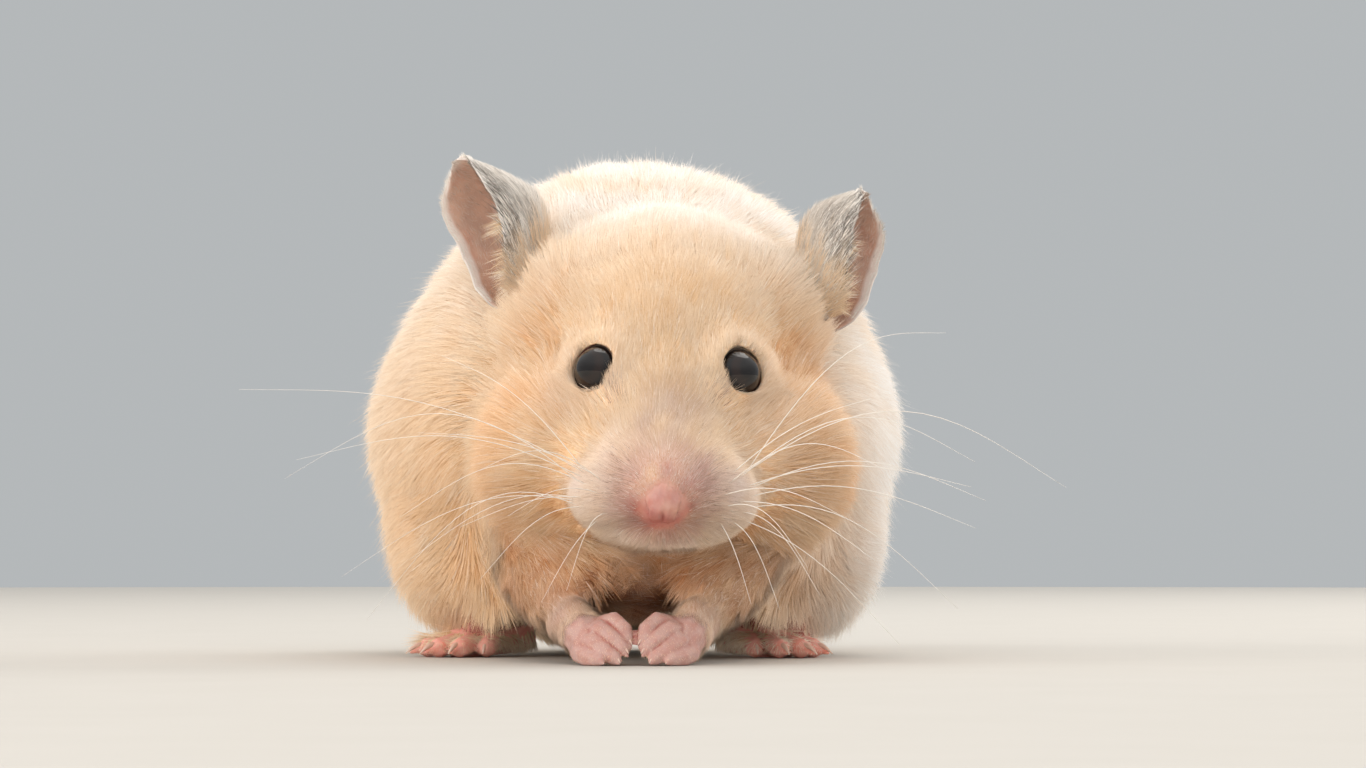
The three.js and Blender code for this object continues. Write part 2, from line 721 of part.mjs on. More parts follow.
const finish = (colour, roughness) =>
  new THREE.MeshStandardMaterial({ color: colour, roughness, metalness: 0 });
const coat = finish("#ecd2b0", 0.95);
const bareSkin = finish("#e3a898", 0.6);
const earSkin = finish("#ac8d78", 0.75);
const eyeGloss = finish("#0c0a0a", 0.05);
const hair = finish("#f6efe4", 0.4);

const hamster = new THREE.Group();

function addPiece(name, whole, material) {
  const mesh = new THREE.Mesh(geometryOf(whole.simplify(FINEST_FORM)), material);
  mesh.name = name;
  hamster.add(mesh);
}

/** The whole body, made thicker by the clearance, which trims the foot of each ear. It is fine only
 *  where the ears meet it. */
const nearEars = (point) => (point.y < 2 && point.z > 26 ? 2.4 : 14);
const earCutter = solid(wrap((point) => bodyField(point) - EAR_GAP, HEAD_CENTRE, nearEars));
const headRegion = region(HEAD_REGION.at, HEAD_REGION.half, 0, 6);
let torso = torsoWhole().subtract(region(HEAD_REGION.at, HEAD_REGION.half, GAP, 6));
let head = headWhole().intersect(headRegion);

const noseRegion = (grow) => inHead(region(NOSE_REGION.at, NOSE_REGION.half, grow, 2));
const nose = nostrils().reduce(
  (whole, slit) => whole.subtract(slit),
  head.intersect(noseRegion(0)),
);
addPiece("nose", largest(nose), bareSkin);

for (const [name, side] of Object.entries(SIDES)) {
  const padAt = [side * PAD_REGION.at[0], PAD_REGION.at[1], PAD_REGION.at[2]];
  const pad = head.subtract(noseRegion(GAP)).intersect(inHead(region(padAt, PAD_REGION.half, 0, 2)));
  addPiece("whisker_pad_" + name, largest(largest(pad).add(whiskers(side))), hair);
}
head = head.subtract(noseRegion(GAP));

for (const [name, side] of Object.entries(SIDES)) {
  const padAt = [side * PAD_REGION.at[0], PAD_REGION.at[1], PAD_REGION.at[2]];
  head = head.subtract(inHead(region(padAt, PAD_REGION.half, GAP, 2))).subtract(eye(side, GAP));
  addPiece("eye_" + name, eye(side), eyeGloss);
  addPiece("ear_" + name, largest(ear(name).subtract(earCutter)), earSkin);

  const handCutter = hand(side, GAP);
  const armCutter = solid(foreleg(side, GAP));
  const arm = solid(foreleg(side)).subtract(handCutter);
  torso = torso.subtract(armCutter).subtract(handCutter);
  head = head.subtract(armCutter);
  addPiece("foreleg_" + name, trimmed(arm), coat);
  addPiece("hand_" + name, trimmed(hand(side)), bareSkin);

  const { at, half } = THIGH_REGION[name];
  const footCutter = hindFoot(name, GAP);
  torso = torso.subtract(region(at, half, GAP, 3)).subtract(footCutter);
  addPiece("hindleg_" + name, trimmed(thigh(name).subtract(footCutter).subtract(armCutter)), coat);
  addPiece("hindfoot_" + name, trimmed(hindFoot(name)), bareSkin);
}

torso = torso.subtract(tail(GAP));
addPiece("tail", tail(), bareSkin);
addPiece("head", largest(head), coat);
addPiece("torso", trimmed(torso), coat);

// The origin lies on the floor under the middle of the whole hamster.
const bounds = new THREE.Box3().setFromObject(hamster);
const middle = bounds.getCenter(new THREE.Vector3());
hamster.position.set(-middle.x, -middle.y, 0);

const part = new THREE.Group();
part.add(hamster);

export default part;
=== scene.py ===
"""The looks of a cream Syrian hamster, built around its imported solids.

Every size below is in millimetres unless its name says otherwise, and meshes are turned to metres
when they are made. Two frames are used: the body's own, and the head's, whose x runs from the
middle plane of the head. The hamster faces -Y, so its left side is at +X.
"""

from __future__ import annotations

import logging
import math
from dataclasses import dataclass, field
from enum import Enum
from typing import Sequence

import bmesh
import bpy
import numpy as np
from mathutils import Euler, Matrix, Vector
from mathutils.bvhtree import BVHTree
from mathutils.kdtree import KDTree


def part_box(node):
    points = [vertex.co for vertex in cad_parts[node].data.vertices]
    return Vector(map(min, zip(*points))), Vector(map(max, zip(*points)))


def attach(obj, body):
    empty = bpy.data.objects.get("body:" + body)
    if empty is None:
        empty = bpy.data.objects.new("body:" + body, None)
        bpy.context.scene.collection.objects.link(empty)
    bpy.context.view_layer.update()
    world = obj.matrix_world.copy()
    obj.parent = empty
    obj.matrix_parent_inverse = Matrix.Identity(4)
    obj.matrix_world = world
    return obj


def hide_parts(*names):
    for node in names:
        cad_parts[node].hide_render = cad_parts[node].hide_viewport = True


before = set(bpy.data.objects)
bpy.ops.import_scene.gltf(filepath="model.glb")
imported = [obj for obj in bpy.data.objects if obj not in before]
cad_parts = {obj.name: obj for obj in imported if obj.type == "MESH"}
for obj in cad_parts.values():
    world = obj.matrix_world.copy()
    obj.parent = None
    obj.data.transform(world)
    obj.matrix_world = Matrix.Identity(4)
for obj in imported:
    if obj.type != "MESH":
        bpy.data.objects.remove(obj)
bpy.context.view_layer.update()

LOG = logging.getLogger("hamster")
Array = np.ndarray
MM = 0.001
ROOT = "root"

# The middle between the eyes, in the head's own frame and in the body's.
EYES_MIDDLE_IN_HEAD = np.array([0.0, -37.1, 34.6])
EYES_MIDDLE_IN_BODY = np.array([3.07, -37.1, 34.6])
EYE_OFFSET = 8.0
PAW_CENTRE_X = -0.7  # the middle between the paws, in the body's frame
EYE_RADIUS = 3.05
EYE_FACES = np.array([0.64, -0.73, 0.23]) / np.linalg.norm([0.64, -0.73, 0.23])
LID_LIFT = 1.1


class Side(Enum):
    """The hamster's own left and right, as the sign of x."""

    LEFT = 1
    RIGHT = -1

    @property
    def word(self) -> str:
        """The side's name, as the nodes use it."""
        return self.name.lower()


class Space(Enum):
    """The frame that a place is given in."""

    HEAD = "head"
    BODY = "body"


# ------------------------------------------------------------------------------------------------
# Numbers
# ------------------------------------------------------------------------------------------------


def linear(code: str) -> Array:
    """Turns a colour code into linear red, green and blue."""
    values = np.array([int(code[i : i + 2], 16) for i in (1, 3, 5)]) / 255
    return np.where(values <= 0.04045, values / 12.92, ((values + 0.055) / 1.055) ** 2.4)


def unit(vectors: Array) -> Array:
    """Scales each row to length one."""
    return vectors / np.maximum(np.linalg.norm(vectors, axis=-1, keepdims=True), 1e-9)


def dot(a: Array, b: Array) -> Array:
    """The dot product of matching rows, as a column."""
    return (a * b).sum(-1, keepdims=True)


def rise(low: float, high: float, value: Array) -> Array:
    """A smooth step from 0 at low to 1 at high. high may be the smaller one."""
    share = np.clip((value - low) / (high - low), 0, 1)
    return share * share * (3 - 2 * share)


def across(vectors: Array, normals: Array) -> Array:
    """The directions of vectors along the surface that has these normals."""
    return unit(vectors - dot(vectors, normals) * normals)


@dataclass(frozen=True)
class Ripple:
    """A smooth random field, as a sum of waves in all directions.

    Attributes:
        size: The width of its spots.
        seed: What its draw starts from.
        waves: How many waves are summed.
    """

    size: float
    seed: int
    waves: int = 14

    def __call__(self, points: Array) -> Array:
        """The field at each point, mostly from -1 to 1.

        Args:
            points: One point a row.

        Returns:
            One value a point.
        """
        draw = np.random.default_rng(self.seed)
        ways = unit(draw.normal(size=(self.waves, 3)))
        pace = draw.uniform(0.6, 1.5, (self.waves, 1)) * math.pi / self.size
        phase = draw.uniform(0, 2 * math.pi, self.waves)
        return np.sin(points @ (ways * pace).T + phase).sum(1) / math.sqrt(self.waves)


# ------------------------------------------------------------------------------------------------
# Meshes
# ------------------------------------------------------------------------------------------------


@dataclass
class Surface:
    """A triangle mesh in millimetres.

    Attributes:
        points: One point a row.
        faces: Three indices a row.
    """

    points: Array
    faces: Array

    @classmethod
    def of_mesh(cls, mesh: bpy.types.Mesh, scale: float = 1.0) -> Surface:
        """Reads a Blender mesh.

        Args:
            mesh: The mesh to read.
            scale: What its coordinates are multiplied by.

        Returns:
            Its triangles.
        """
        points = np.empty(len(mesh.vertices) * 3, np.float32)
        mesh.vertices.foreach_get("co", points)
        mesh.calc_loop_triangles()
        faces = np.empty(len(mesh.loop_triangles) * 3, np.int32)
        mesh.loop_triangles.foreach_get("vertices", faces)
        return cls(points.reshape(-1, 3).astype(float) * scale, faces.reshape(-1, 3))

    @classmethod
    def of_node(cls, node: str) -> Surface:
        """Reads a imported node, in millimetres."""
        return cls.of_mesh(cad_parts[node].data, 1 / MM)

    @classmethod
    def joined(cls, surfaces: Sequence[Surface]) -> Surface:
        """Puts several surfaces into one mesh, without fusing them.

        Args:
            surfaces: The surfaces to join.

        Returns:
            One surface that holds them all.
        """
        starts = np.cumsum([0] + [len(s.points) for s in surfaces[:-1]])
        faces = [s.faces + start for s, start in zip(surfaces, starts)]
        return cls(np.vstack([s.points for s in surfaces]), np.vstack(faces))

    def mesh(self, name: str, scale: float = MM) -> bpy.types.Mesh:
        """Makes a Blender mesh of it.

        Args:
            name: The mesh's name.
            scale: What the points are multiplied by.

        Returns:
            The mesh, smooth shaded.
        """
        mesh = bpy.data.meshes.new(name)
        count = len(self.faces)
        mesh.vertices.add(len(self.points))
        mesh.vertices.foreach_set("co", (self.points * scale).astype(np.float32).ravel())
        mesh.loops.add(count * 3)
        mesh.loops.foreach_set("vertex_index", self.faces.astype(np.int32).ravel())
        mesh.polygons.add(count)
        mesh.polygons.foreach_set("loop_start", np.arange(count, dtype=np.int32) * 3)
        mesh.polygons.foreach_set("use_smooth", np.ones(count, bool))
        mesh.update(calc_edges=True)
        return mesh

    def normals(self) -> Array:
        """The normal at each point, weighted by the area of its faces.

        Returns:
            One unit vector a point.
        """
        a, b, c = (self.points[self.faces[:, k]] for k in range(3))
        flat = np.cross(b - a, c - a)
        total = np.zeros_like(self.points)
        for k in range(3):
            for axis in range(3):
                total[:, axis] += np.bincount(self.faces[:, k], flat[:, axis], len(total))
        return unit(total)

    def neighbours_mean(self) -> Array:
        """The mean of the neighbours of each point.

        Returns:
            One mean a point.
        """
        pairs = np.vstack([self.faces[:, [0, 1]], self.faces[:, [1, 2]], self.faces[:, [2, 0]]])
        total = np.zeros_like(self.points)
        for axis in range(3):
            column = self.points[pairs[:, 1], axis]
            total[:, axis] = np.bincount(pairs[:, 0], column, len(total))
        count = np.bincount(pairs[:, 0], minlength=len(total))[:, None]
        return total / np.maximum(count, 1)

    def smoothed(self, rounds: int, strength: float | Array = 0.5) -> Surface:
        """Moves each point towards the mean of its neighbours.

        Args:
            rounds: How many times.
            strength: The share of the way, as one number or a column.

        Returns:
            The smoother surface.
        """
        made = Surface(self.points.copy(), self.faces)
        for _ in range(rounds):
            made.points += (made.neighbours_mean() - made.points) * strength
        return made

    def moved_out(self, distance: float | Array) -> Surface:
        """Moves each point along its normal."""
        return Surface(self.points + self.normals() * distance, self.faces)

    def hollows(self) -> Array:
        """How far each point lies below the mean of its neighbours: above 0 in a crease."""
        return dot(self.neighbours_mean() - self.points, self.normals())[:, 0]

    def remeshed(self, voxel: float) -> Surface:
        """Wraps one closed skin of even squares round the surface."""
        return self._changed("REMESH", {"mode": "VOXEL", "voxel_size": voxel})

    def fused(self, other: Surface) -> Surface:
        """Joins it with another closed surface into one closed surface.

        Args:
            other: The surface to add.

        Returns:
            The outside of both.
        """
        helper = bpy.data.objects.new("helper", other.mesh("helper", 1.0))
        bpy.context.scene.collection.objects.link(helper)
        settings = {"operation": "UNION", "solver": "MANIFOLD", "object": helper}
        made = self._changed("BOOLEAN", settings)
        bpy.data.objects.remove(helper)
        return made

    def _changed(self, kind: str, settings: dict) -> Surface:
        """The surface after one modifier.

        Args:
            kind: The modifier's type.
            settings: Its settings by name.

        Returns:
            The changed surface.
        """
        obj = bpy.data.objects.new("work", self.mesh("work", 1.0))
        bpy.context.scene.collection.objects.link(obj)
        modifier = obj.modifiers.new("work", kind)
        for key, value in settings.items():
            setattr(modifier, key, value)
        graph = bpy.context.evaluated_depsgraph_get()
        mesh = bpy.data.meshes.new_from_object(obj.evaluated_get(graph))
        made = Surface.of_mesh(mesh)
        bpy.data.objects.remove(obj)
        bpy.data.meshes.remove(mesh)
        return made


def hull(points: Array) -> Surface:
    """The convex hull of some points.

    Args:
        points: One point a row.

    Returns:
        The closed hull.
    """
    form = bmesh.new()
    for point in points:
        form.verts.new(point)
    bmesh.ops.convex_hull(form, input=form.verts)
    loose = [vert for vert in form.verts if not vert.link_faces]
    bmesh.ops.delete(form, geom=loose, context="VERTS")
    bmesh.ops.triangulate(form, faces=form.faces)
    mesh = bpy.data.meshes.new("hull")
    form.to_mesh(mesh)
    form.free()
    return Surface.of_mesh(mesh)


def grid(rows: Array, closed_across: bool = True, caps: bool = True) -> Surface:
    """A surface through rows of points.

    Args:
        rows: Points by row and by place in the row.
        closed_across: Whether each row is a loop.
        caps: Whether the first and last loop are closed by a fan to their middle.

    Returns:
        The surface, facing away from the loops' middle when they run anticlockwise.
    """
    count, width = rows.shape[:2]
    index = np.arange(count * width).reshape(count, width)
    ahead = np.roll(index, -1, axis=1) if closed_across else index[:, 1:]
    here = index if closed_across else index[:, :-1]
    a, b, c, d = here[:-1], ahead[:-1], ahead[1:], here[1:]
    faces = [np.stack([a, b, c], -1).reshape(-1, 3), np.stack([a, c, d], -1).reshape(-1, 3)]
    points = [rows.reshape(-1, 3)]
    if caps:
        points.append(np.array([rows[0].mean(0), rows[-1].mean(0)]))
        first, last = count * width, count * width + 1
        ones = np.ones(width, int)
        faces.append(np.stack([ahead[0], here[0], ones * first], -1))
        faces.append(np.stack([here[-1], ahead[-1], ones * last], -1))
    return Surface(np.vstack(points), np.vstack(faces))


def ring_at(angles: Array, side: Array, top: Array) -> Array:
    """Unit circle directions at these angles, between two directions."""
    return np.cos(angles)[:, None] * side + np.sin(angles)[:, None] * top


def tube(line: Array, radii: Array, sides: int = 6) -> Surface:
    """A round tube along a line.

    Args:
        line: The points of its middle.
        radii: Its radius at each point.
        sides: How many sides it has.

    Returns:
        The closed tube.
    """
    ways = unit(np.gradient(line, axis=0))
    side = np.cross(ways[0], [0.0, 0.0, 1.0] if abs(ways[0][2]) < 0.8 else [0.0, -1.0, 0.0])
    angles = np.arange(sides) * 2 * math.pi / sides
    rows = []
    for middle, way, radius in zip(line, ways, radii):
        side = unit(side - side @ way * way)
        rows.append(middle + radius * ring_at(angles, side, np.cross(way, side)))
    return grid(np.array(rows))


def smooth_line(stops: Sequence[Sequence[float]], count: int) -> Array:
    """A smooth line through a few stops, evenly stepped between them.

    Args:
        stops: The points that it passes.
        count: How many points it gets.

    Returns:
        The points of the line.
    """
    knots = np.array(stops, float)
    padded = np.vstack([2 * knots[0] - knots[1], knots, 2 * knots[-1] - knots[-2]])
    place = np.linspace(0, len(knots) - 1, count)
    step = np.minimum(place.astype(int), len(knots) - 2)
    t = (place - step)[:, None]
    p0, p1, p2, p3 = (padded[step + k] for k in range(4))
    curve = 2 * p1 + (p2 - p0) * t + (2 * p0 - 5 * p1 + 4 * p2 - p3) * t**2
    return 0.5 * (curve + (3 * p1 - p0 - 3 * p2 + p3) * t**3)


# ------------------------------------------------------------------------------------------------
# Materials
# ------------------------------------------------------------------------------------------------


@dataclass(frozen=True)
class Wire:
    """A number that comes out of a node, on which sums can be written."""

    shader: Shader
    socket: bpy.types.NodeSocket

    def _sum(self, operation: str, first: Wire | float, second: Wire | float) -> Wire:
        """One Math node on two numbers."""
        made = self.shader.node("ShaderNodeMath", {"operation": operation}, {0: first, 1: second})
        return Wire(self.shader, made.outputs[0])

    def __add__(self, other: Wire | float) -> Wire:
        """self + other."""
        return self._sum("ADD", self, other)

    __radd__ = __add__

    def __sub__(self, other: Wire | float) -> Wire:
        """self - other."""
        return self._sum("SUBTRACT", self, other)

    def __rsub__(self, other: Wire | float) -> Wire:
        """other - self."""
        return self._sum("SUBTRACT", other, self)

    def __mul__(self, other: Wire | float) -> Wire:
        """self * other."""
        return self._sum("MULTIPLY", self, other)

    __rmul__ = __mul__

    def __pow__(self, other: float) -> Wire:
        """self ** other."""
        return self._sum("POWER", self, other)


class Shader:
    """The node tree of a material or of the world, written with one method for any node."""

    def __init__(self, name: str, world: bpy.types.World | None = None) -> None:
        """Starts an empty tree.

        Args:
            name: The material's name.
            world: The world that the tree belongs to, if it isn't a material's.
        """
        self.material = world or bpy.data.materials.new(name)
        self.material.use_nodes = True
        self.tree = self.material.node_tree
        self.tree.nodes.clear()

    def node(
        self, kind: str, settings: dict | None = None, inputs: dict | None = None
    ) -> bpy.types.Node:
        """Adds a node.

        Args:
            kind: The node's type.
            settings: Its settings by name, which are set first.
            inputs: The values or wires of its sockets, by name or number.

        Returns:
            The node.
        """
        made = self.tree.nodes.new(kind)
        for key, value in (settings or {}).items():
            setattr(made, key, value)
        for key, value in (inputs or {}).items():
            socket = made.inputs[key]
            if isinstance(value, Wire):
                self.tree.links.new(value.socket, socket)
            elif isinstance(value, np.ndarray):
                socket.default_value = (*value, 1.0) if socket.type == "RGBA" else tuple(value)
            else:
                socket.default_value = value
        return made

    def out(self, node: bpy.types.Node, output: str | int = 0) -> Wire:
        """The wire from one of a node's outputs."""
        return Wire(self, node.outputs[output])

    def attribute(self, name: str, output: str = "Fac") -> Wire:
        """The mesh's own value of that name."""
        return self.out(self.node("ShaderNodeAttribute", {"attribute_name": name}), output)

    def mix(
        self, share: Wire | float, first: Wire | Array, second: Wire | Array, way: str = "MIX"
    ) -> Wire:
        """Mixes two colours."""
        settings = {"data_type": "RGBA", "blend_type": way}
        return self.out(self.node("ShaderNodeMix", settings, {0: share, 6: first, 7: second}), 2)

    def noise(
        self, spots_per_mm: float, detail: float = 2.0, stretch: Sequence[float] = (1, 1, 1)
    ) -> Wire:
        """Noise in the model's own space.

        Args:
            spots_per_mm: How fine it is.
            detail: How many finer layers it has.
            stretch: What the three axes are multiplied by first.

        Returns:
            A number from 0 to 1.
        """
        place = self.node("ShaderNodeTexCoord").outputs["Object"]
        scaled = self.node(
            "ShaderNodeVectorMath",
            {"operation": "MULTIPLY"},
            {0: Wire(self, place), 1: tuple(s / MM for s in stretch)},
        )
        inputs = {"Vector": self.out(scaled), "Scale": spots_per_mm, "Detail": detail}
        return self.out(self.node("ShaderNodeTexNoise", None, inputs), "Fac")

    def step(self, value: Wire, low: float, high: float) -> Wire:
        """A smooth step of a number from 0 at low to 1 at high.

        Args:
            value: The number.
            low: Where the step starts.
            high: Where it ends.

        Returns:
            A number from 0 to 1.
        """
        settings = {"interpolation_type": "SMOOTHSTEP"}
        inputs = {"Value": value, "From Min": low, "From Max": high}
        return self.out(self.node("ShaderNodeMapRange", settings, inputs))

    def bump(self, height: Wire, strength: float, distance: float) -> Wire:
        """A bump, whose height is told in millimetres."""
        inputs = {"Height": height, "Strength": strength, "Distance": distance * MM}
        return self.out(self.node("ShaderNodeBump", None, inputs))

    def surface(
        self, inputs: dict, glow_through: tuple[float, Array] | None = None
    ) -> bpy.types.Material:
        """Ends the material with a Principled shader.

        Args:
            inputs: Its sockets.
            glow_through: The share and colour of light that passes through, if any does.

        Returns:
            The material.
        """
        last = self.node("ShaderNodeBsdfPrincipled", None, inputs)
        if glow_through:
            share, colour = glow_through
            thin = self.node("ShaderNodeBsdfTranslucent", None, {"Color": colour})
            parts = {0: share, 1: self.out(last), 2: self.out(thin)}
            last = self.node("ShaderNodeMixShader", None, parts)
        self.node("ShaderNodeOutputMaterial", None, {"Surface": self.out(last)})
        return self.material


@dataclass(frozen=True)
class CoatFinish:
    """Hair that takes its colour from its place on the body.

    Attributes:
        name: The material's name.
        through: The colour of light that passes through the hair.
        through_share: How much passes.
        sheen: How much its grazing side shines.
        root_tone: What the colour is multiplied by at the root.
        tip_tone: What the tip fades to.
        tip_share: How far the tip fades to it.
        unevenness: How much darker some tufts are than others.
    """

    name: str
    through: str = "#fff1df"
    through_share: float = 0.0
    sheen: float = 0.05
    root_tone: str = "#e4c5a6"
    tip_tone: str = "#fffaf2"
    tip_share: float = 0.15
    unevenness: float = 0.6

    def material(self) -> bpy.types.Material:
        """Makes the material.

        Returns:
            The material.
        """
        shader = Shader(self.name)
        along = shader.attribute("along")
        chance = shader.attribute("chance")
        tint = shader.attribute("tint", "Color")
        rooted = shader.mix(1.0, tint, linear(self.root_tone), "MULTIPLY")
        length = shader.mix(shader.step(along, 0.0, 0.65), rooted, tint)
        fading = shader.step(along, 0.3, 1.0) * self.tip_share
        tipped = shader.mix(fading, length, linear(self.tip_tone))
        darker = shader.mix(1.0, tipped, linear("#dccbba"), "MULTIPLY")
        colour = shader.mix(chance * self.unevenness, tipped, darker)
        streak = shader.noise(0.35, 1.0)
        colour = shader.mix(shader.step(streak, 0.4, 0.8) * 0.1, colour, linear("#fff6ea"))
        inputs = {
            "Base Color": colour,
            "Roughness": 0.66 + chance * 0.15,
            "Specular IOR Level": 0.25,
            "Sheen Weight": self.sheen,
            "Sheen Roughness": 0.5,
            "Sheen Tint": linear("#fff3e4"),
        }
        glow_through = (self.through_share, linear(self.through)) if self.through_share else None
        return shader.surface(inputs, glow_through)


@dataclass(frozen=True)
class SkinFinish:
    """The skin under the coat, which is bare on the nose, hands and feet."""

    name: str = "skin"

    def material(self) -> bpy.types.Material:
        """Makes the material.

        Returns:
            The material.
        """
        shader = Shader(self.name)
        tint = shader.attribute("tint", "Color")
        bare = shader.attribute("bare")
        crease = shader.attribute("crease")
        mottle = shader.noise(0.9, 3.0)
        down = shader.noise(3.2, 3.0, (1, 0.35, 1))
        cells = shader.noise(5.5, 2.0)
        shaded = shader.mix(1.0, tint, linear("#efe0d2"), "MULTIPLY")
        furred = shader.mix(shader.step(down, 0.3, 0.7), shaded, tint)
        rosy = shader.mix(1.0, tint, linear("#f2cfc6"), "MULTIPLY")
        flushed = shader.mix(shader.step(mottle, 0.35, 0.75) * 0.6, tint, rosy)
        # Painted shade: bare skin turns deep red-brown in its hollows, between fingers and toes and round
        # the nose.
        deep = shader.mix(crease, flushed, linear("#9c4d43"))
        colour = shader.mix(bare, furred, deep)
        height = down * (1 - bare) + cells * bare * 0.35
        inputs = {
            "Base Color": colour,
            "Roughness": 0.9 - bare * 0.38 + cells * 0.1,
            "Specular IOR Level": 0.4,
            "Subsurface Weight": 0.18,
            "Subsurface Radius": (1.0, 0.35, 0.2),
            "Subsurface Scale": 0.8 * MM,
            "Normal": shader.bump(height, 0.5, 0.25),
        }
        return shader.surface(inputs)


@dataclass(frozen=True)
class EarFinish:
    """Thin skin of an ear: bare and flushed in the bowl, grey behind, pale along the rim."""

    name: str = "ear_skin"

    def material(self) -> bpy.types.Material:
        """Makes the material.

        Returns:
            The material.
        """
        shader = Shader(self.name)
        inner = shader.attribute("inner")
        rim = shader.attribute("rim")
        low = shader.attribute("low")
        blotch = shader.noise(0.55, 4.0)
        grain = shader.noise(4.0, 3.0)
        veins = shader.noise(0.5, 5.0, (1.0, 1.0, 0.45))
        bowl = shader.mix(shader.step(blotch, 0.3, 0.75), linear("#d4ad98"), linear("#bf9f8e"))
        bowl = shader.mix(shader.step(veins, 0.52, 0.6) * 0.22, bowl, linear("#b67a68"))
        bowl = shader.mix(low * 0.6, bowl, linear("#bb8a6e"))
        back = shader.mix(grain, linear("#a8a19c"), linear("#c4bdb6"))
        skin = shader.mix(inner, back, bowl)
        colour = shader.mix(rim * 0.9, skin, linear("#f4eee6"))
        inputs = {
            "Base Color": colour,
            "Roughness": 0.55 + grain * 0.2,
            "Specular IOR Level": 0.35,
            "Normal": shader.bump(grain + blotch, 0.4, 0.12),
        }
        return shader.surface(inputs, (0.22, linear("#d98f74")))


@dataclass(frozen=True)
class EyeFinish:
    """A wet, black-brown eye."""

    name: str = "eye"

    def material(self) -> bpy.types.Material:
        """Makes the material.

        Returns:
            The material.
        """
        shader = Shader(self.name)
        iris = shader.attribute("iris")
        clouds = shader.noise(0.8, 2.0)
        dark = shader.mix(clouds, linear("#0d0a0a"), linear("#171110"))
        colour = shader.mix(iris, dark, linear("#2a1b14"))
        inputs = {
            "Base Color": colour,
            "Roughness": 0.04 + clouds * 0.02,
            "Specular IOR Level": 0.55,
        }
        return shader.surface(inputs)


@dataclass(frozen=True)
class HairFinish:
    """Stiff clear hair or horn, paler to its tip."""

    name: str
    root: str
    tip: str
    roughness: float = 0.3

    def material(self) -> bpy.types.Material:
        """Makes the material.

        Returns:
            The material.
        """
        shader = Shader(self.name)
        along = shader.attribute("along")
        grain = shader.noise(2.0, 2.0)
        colour = shader.mix(along, linear(self.root), linear(self.tip))
        colour = shader.mix(grain * 0.15, colour, linear("#d8bfa8"))
        inputs = {"Base Color": colour, "Roughness": self.roughness + grain * 0.1}
        return shader.surface(inputs, (0.25, linear("#f4e6d8")))


@dataclass(frozen=True)
class FloorFinish:
    """A pale matt floor."""

    name: str = "floor"

    def material(self) -> bpy.types.Material:
        """Makes the material.

        Returns:
            The material.
        """
        shader = Shader(self.name)
        grain = shader.noise(0.06, 3.0)
        colour = shader.mix(grain, linear("#bdb8b0"), linear("#c3beb7"))
        return shader.surface({"Base Color": colour, "Roughness": 0.75 + grain * 0.1})


# ------------------------------------------------------------------------------------------------
# The hamster's body: places, coat lengths, lie and markings
# ------------------------------------------------------------------------------------------------


@dataclass(frozen=True)
class Cut:
    """How the coat of one place is.

    Attributes:
        length: Length of a tuft.
        width: Width of a tuft at its root.
        lift: Degrees that it stands off the skin.
        depth: How deep the skin lies under the outline.
        density: Tufts a square millimetre.
        clump: How far tips draw together, from 0 to 1.
        mess: How far tufts stray from the lie.
    """

    length: float
    width: float
    lift: float
    depth: float
    density: float
    clump: float = 0.3
    mess: float = 0.15

    def row(self) -> list[float]:
        """The sizes as a list, for mixing."""
        return [self.length, self.width, self.lift, self.depth, self.density, self.clump, self.mess]


@dataclass(frozen=True)
class Place:
    """A soft spot of the body.

    Attributes:
        centre: Its middle.
        radius: Its reach along the three axes.
        space: The frame of both.
        mirrored: Whether it lies on both sides of the middle plane.
    """

    centre: tuple[float, float, float]
    radius: tuple[float, float, float]
    space: Space = Space.HEAD
    mirrored: bool = True

    def far(self, anatomy: Anatomy, points: Array) -> Array:
        """How far each point is from it, squared, as a share of its reach.

        Args:
            anatomy: The frames.
            points: Points of the model.

        Returns:
            One value a point: 0 in the middle and 1 at its reach.
        """
        local = anatomy.to_head(points) if self.space is Space.HEAD else anatomy.to_body(points)
        if self.mirrored:
            middle = 0.0 if self.space is Space.HEAD else anatomy.BODY_AXIS
            local = np.column_stack([np.abs(local[:, 0] - middle) + middle, local[:, 1:]])
        return (((local - self.centre) / self.radius) ** 2).sum(1)


@dataclass(frozen=True)
class Zone:
    """A place with its own coat, which becomes a piece of its own.

    Attributes:
        name: Its name.
        place: Where it is.
        cut: Its coat.
    """

    name: str
    place: Place
    cut: Cut


@dataclass(frozen=True)
class Marking:
    """A soft patch of colour, laid over those before it: a marking of the coat, or painted light or shade
    where noted.
    """

    place: Place
    colour: str
    strength: float = 1.0


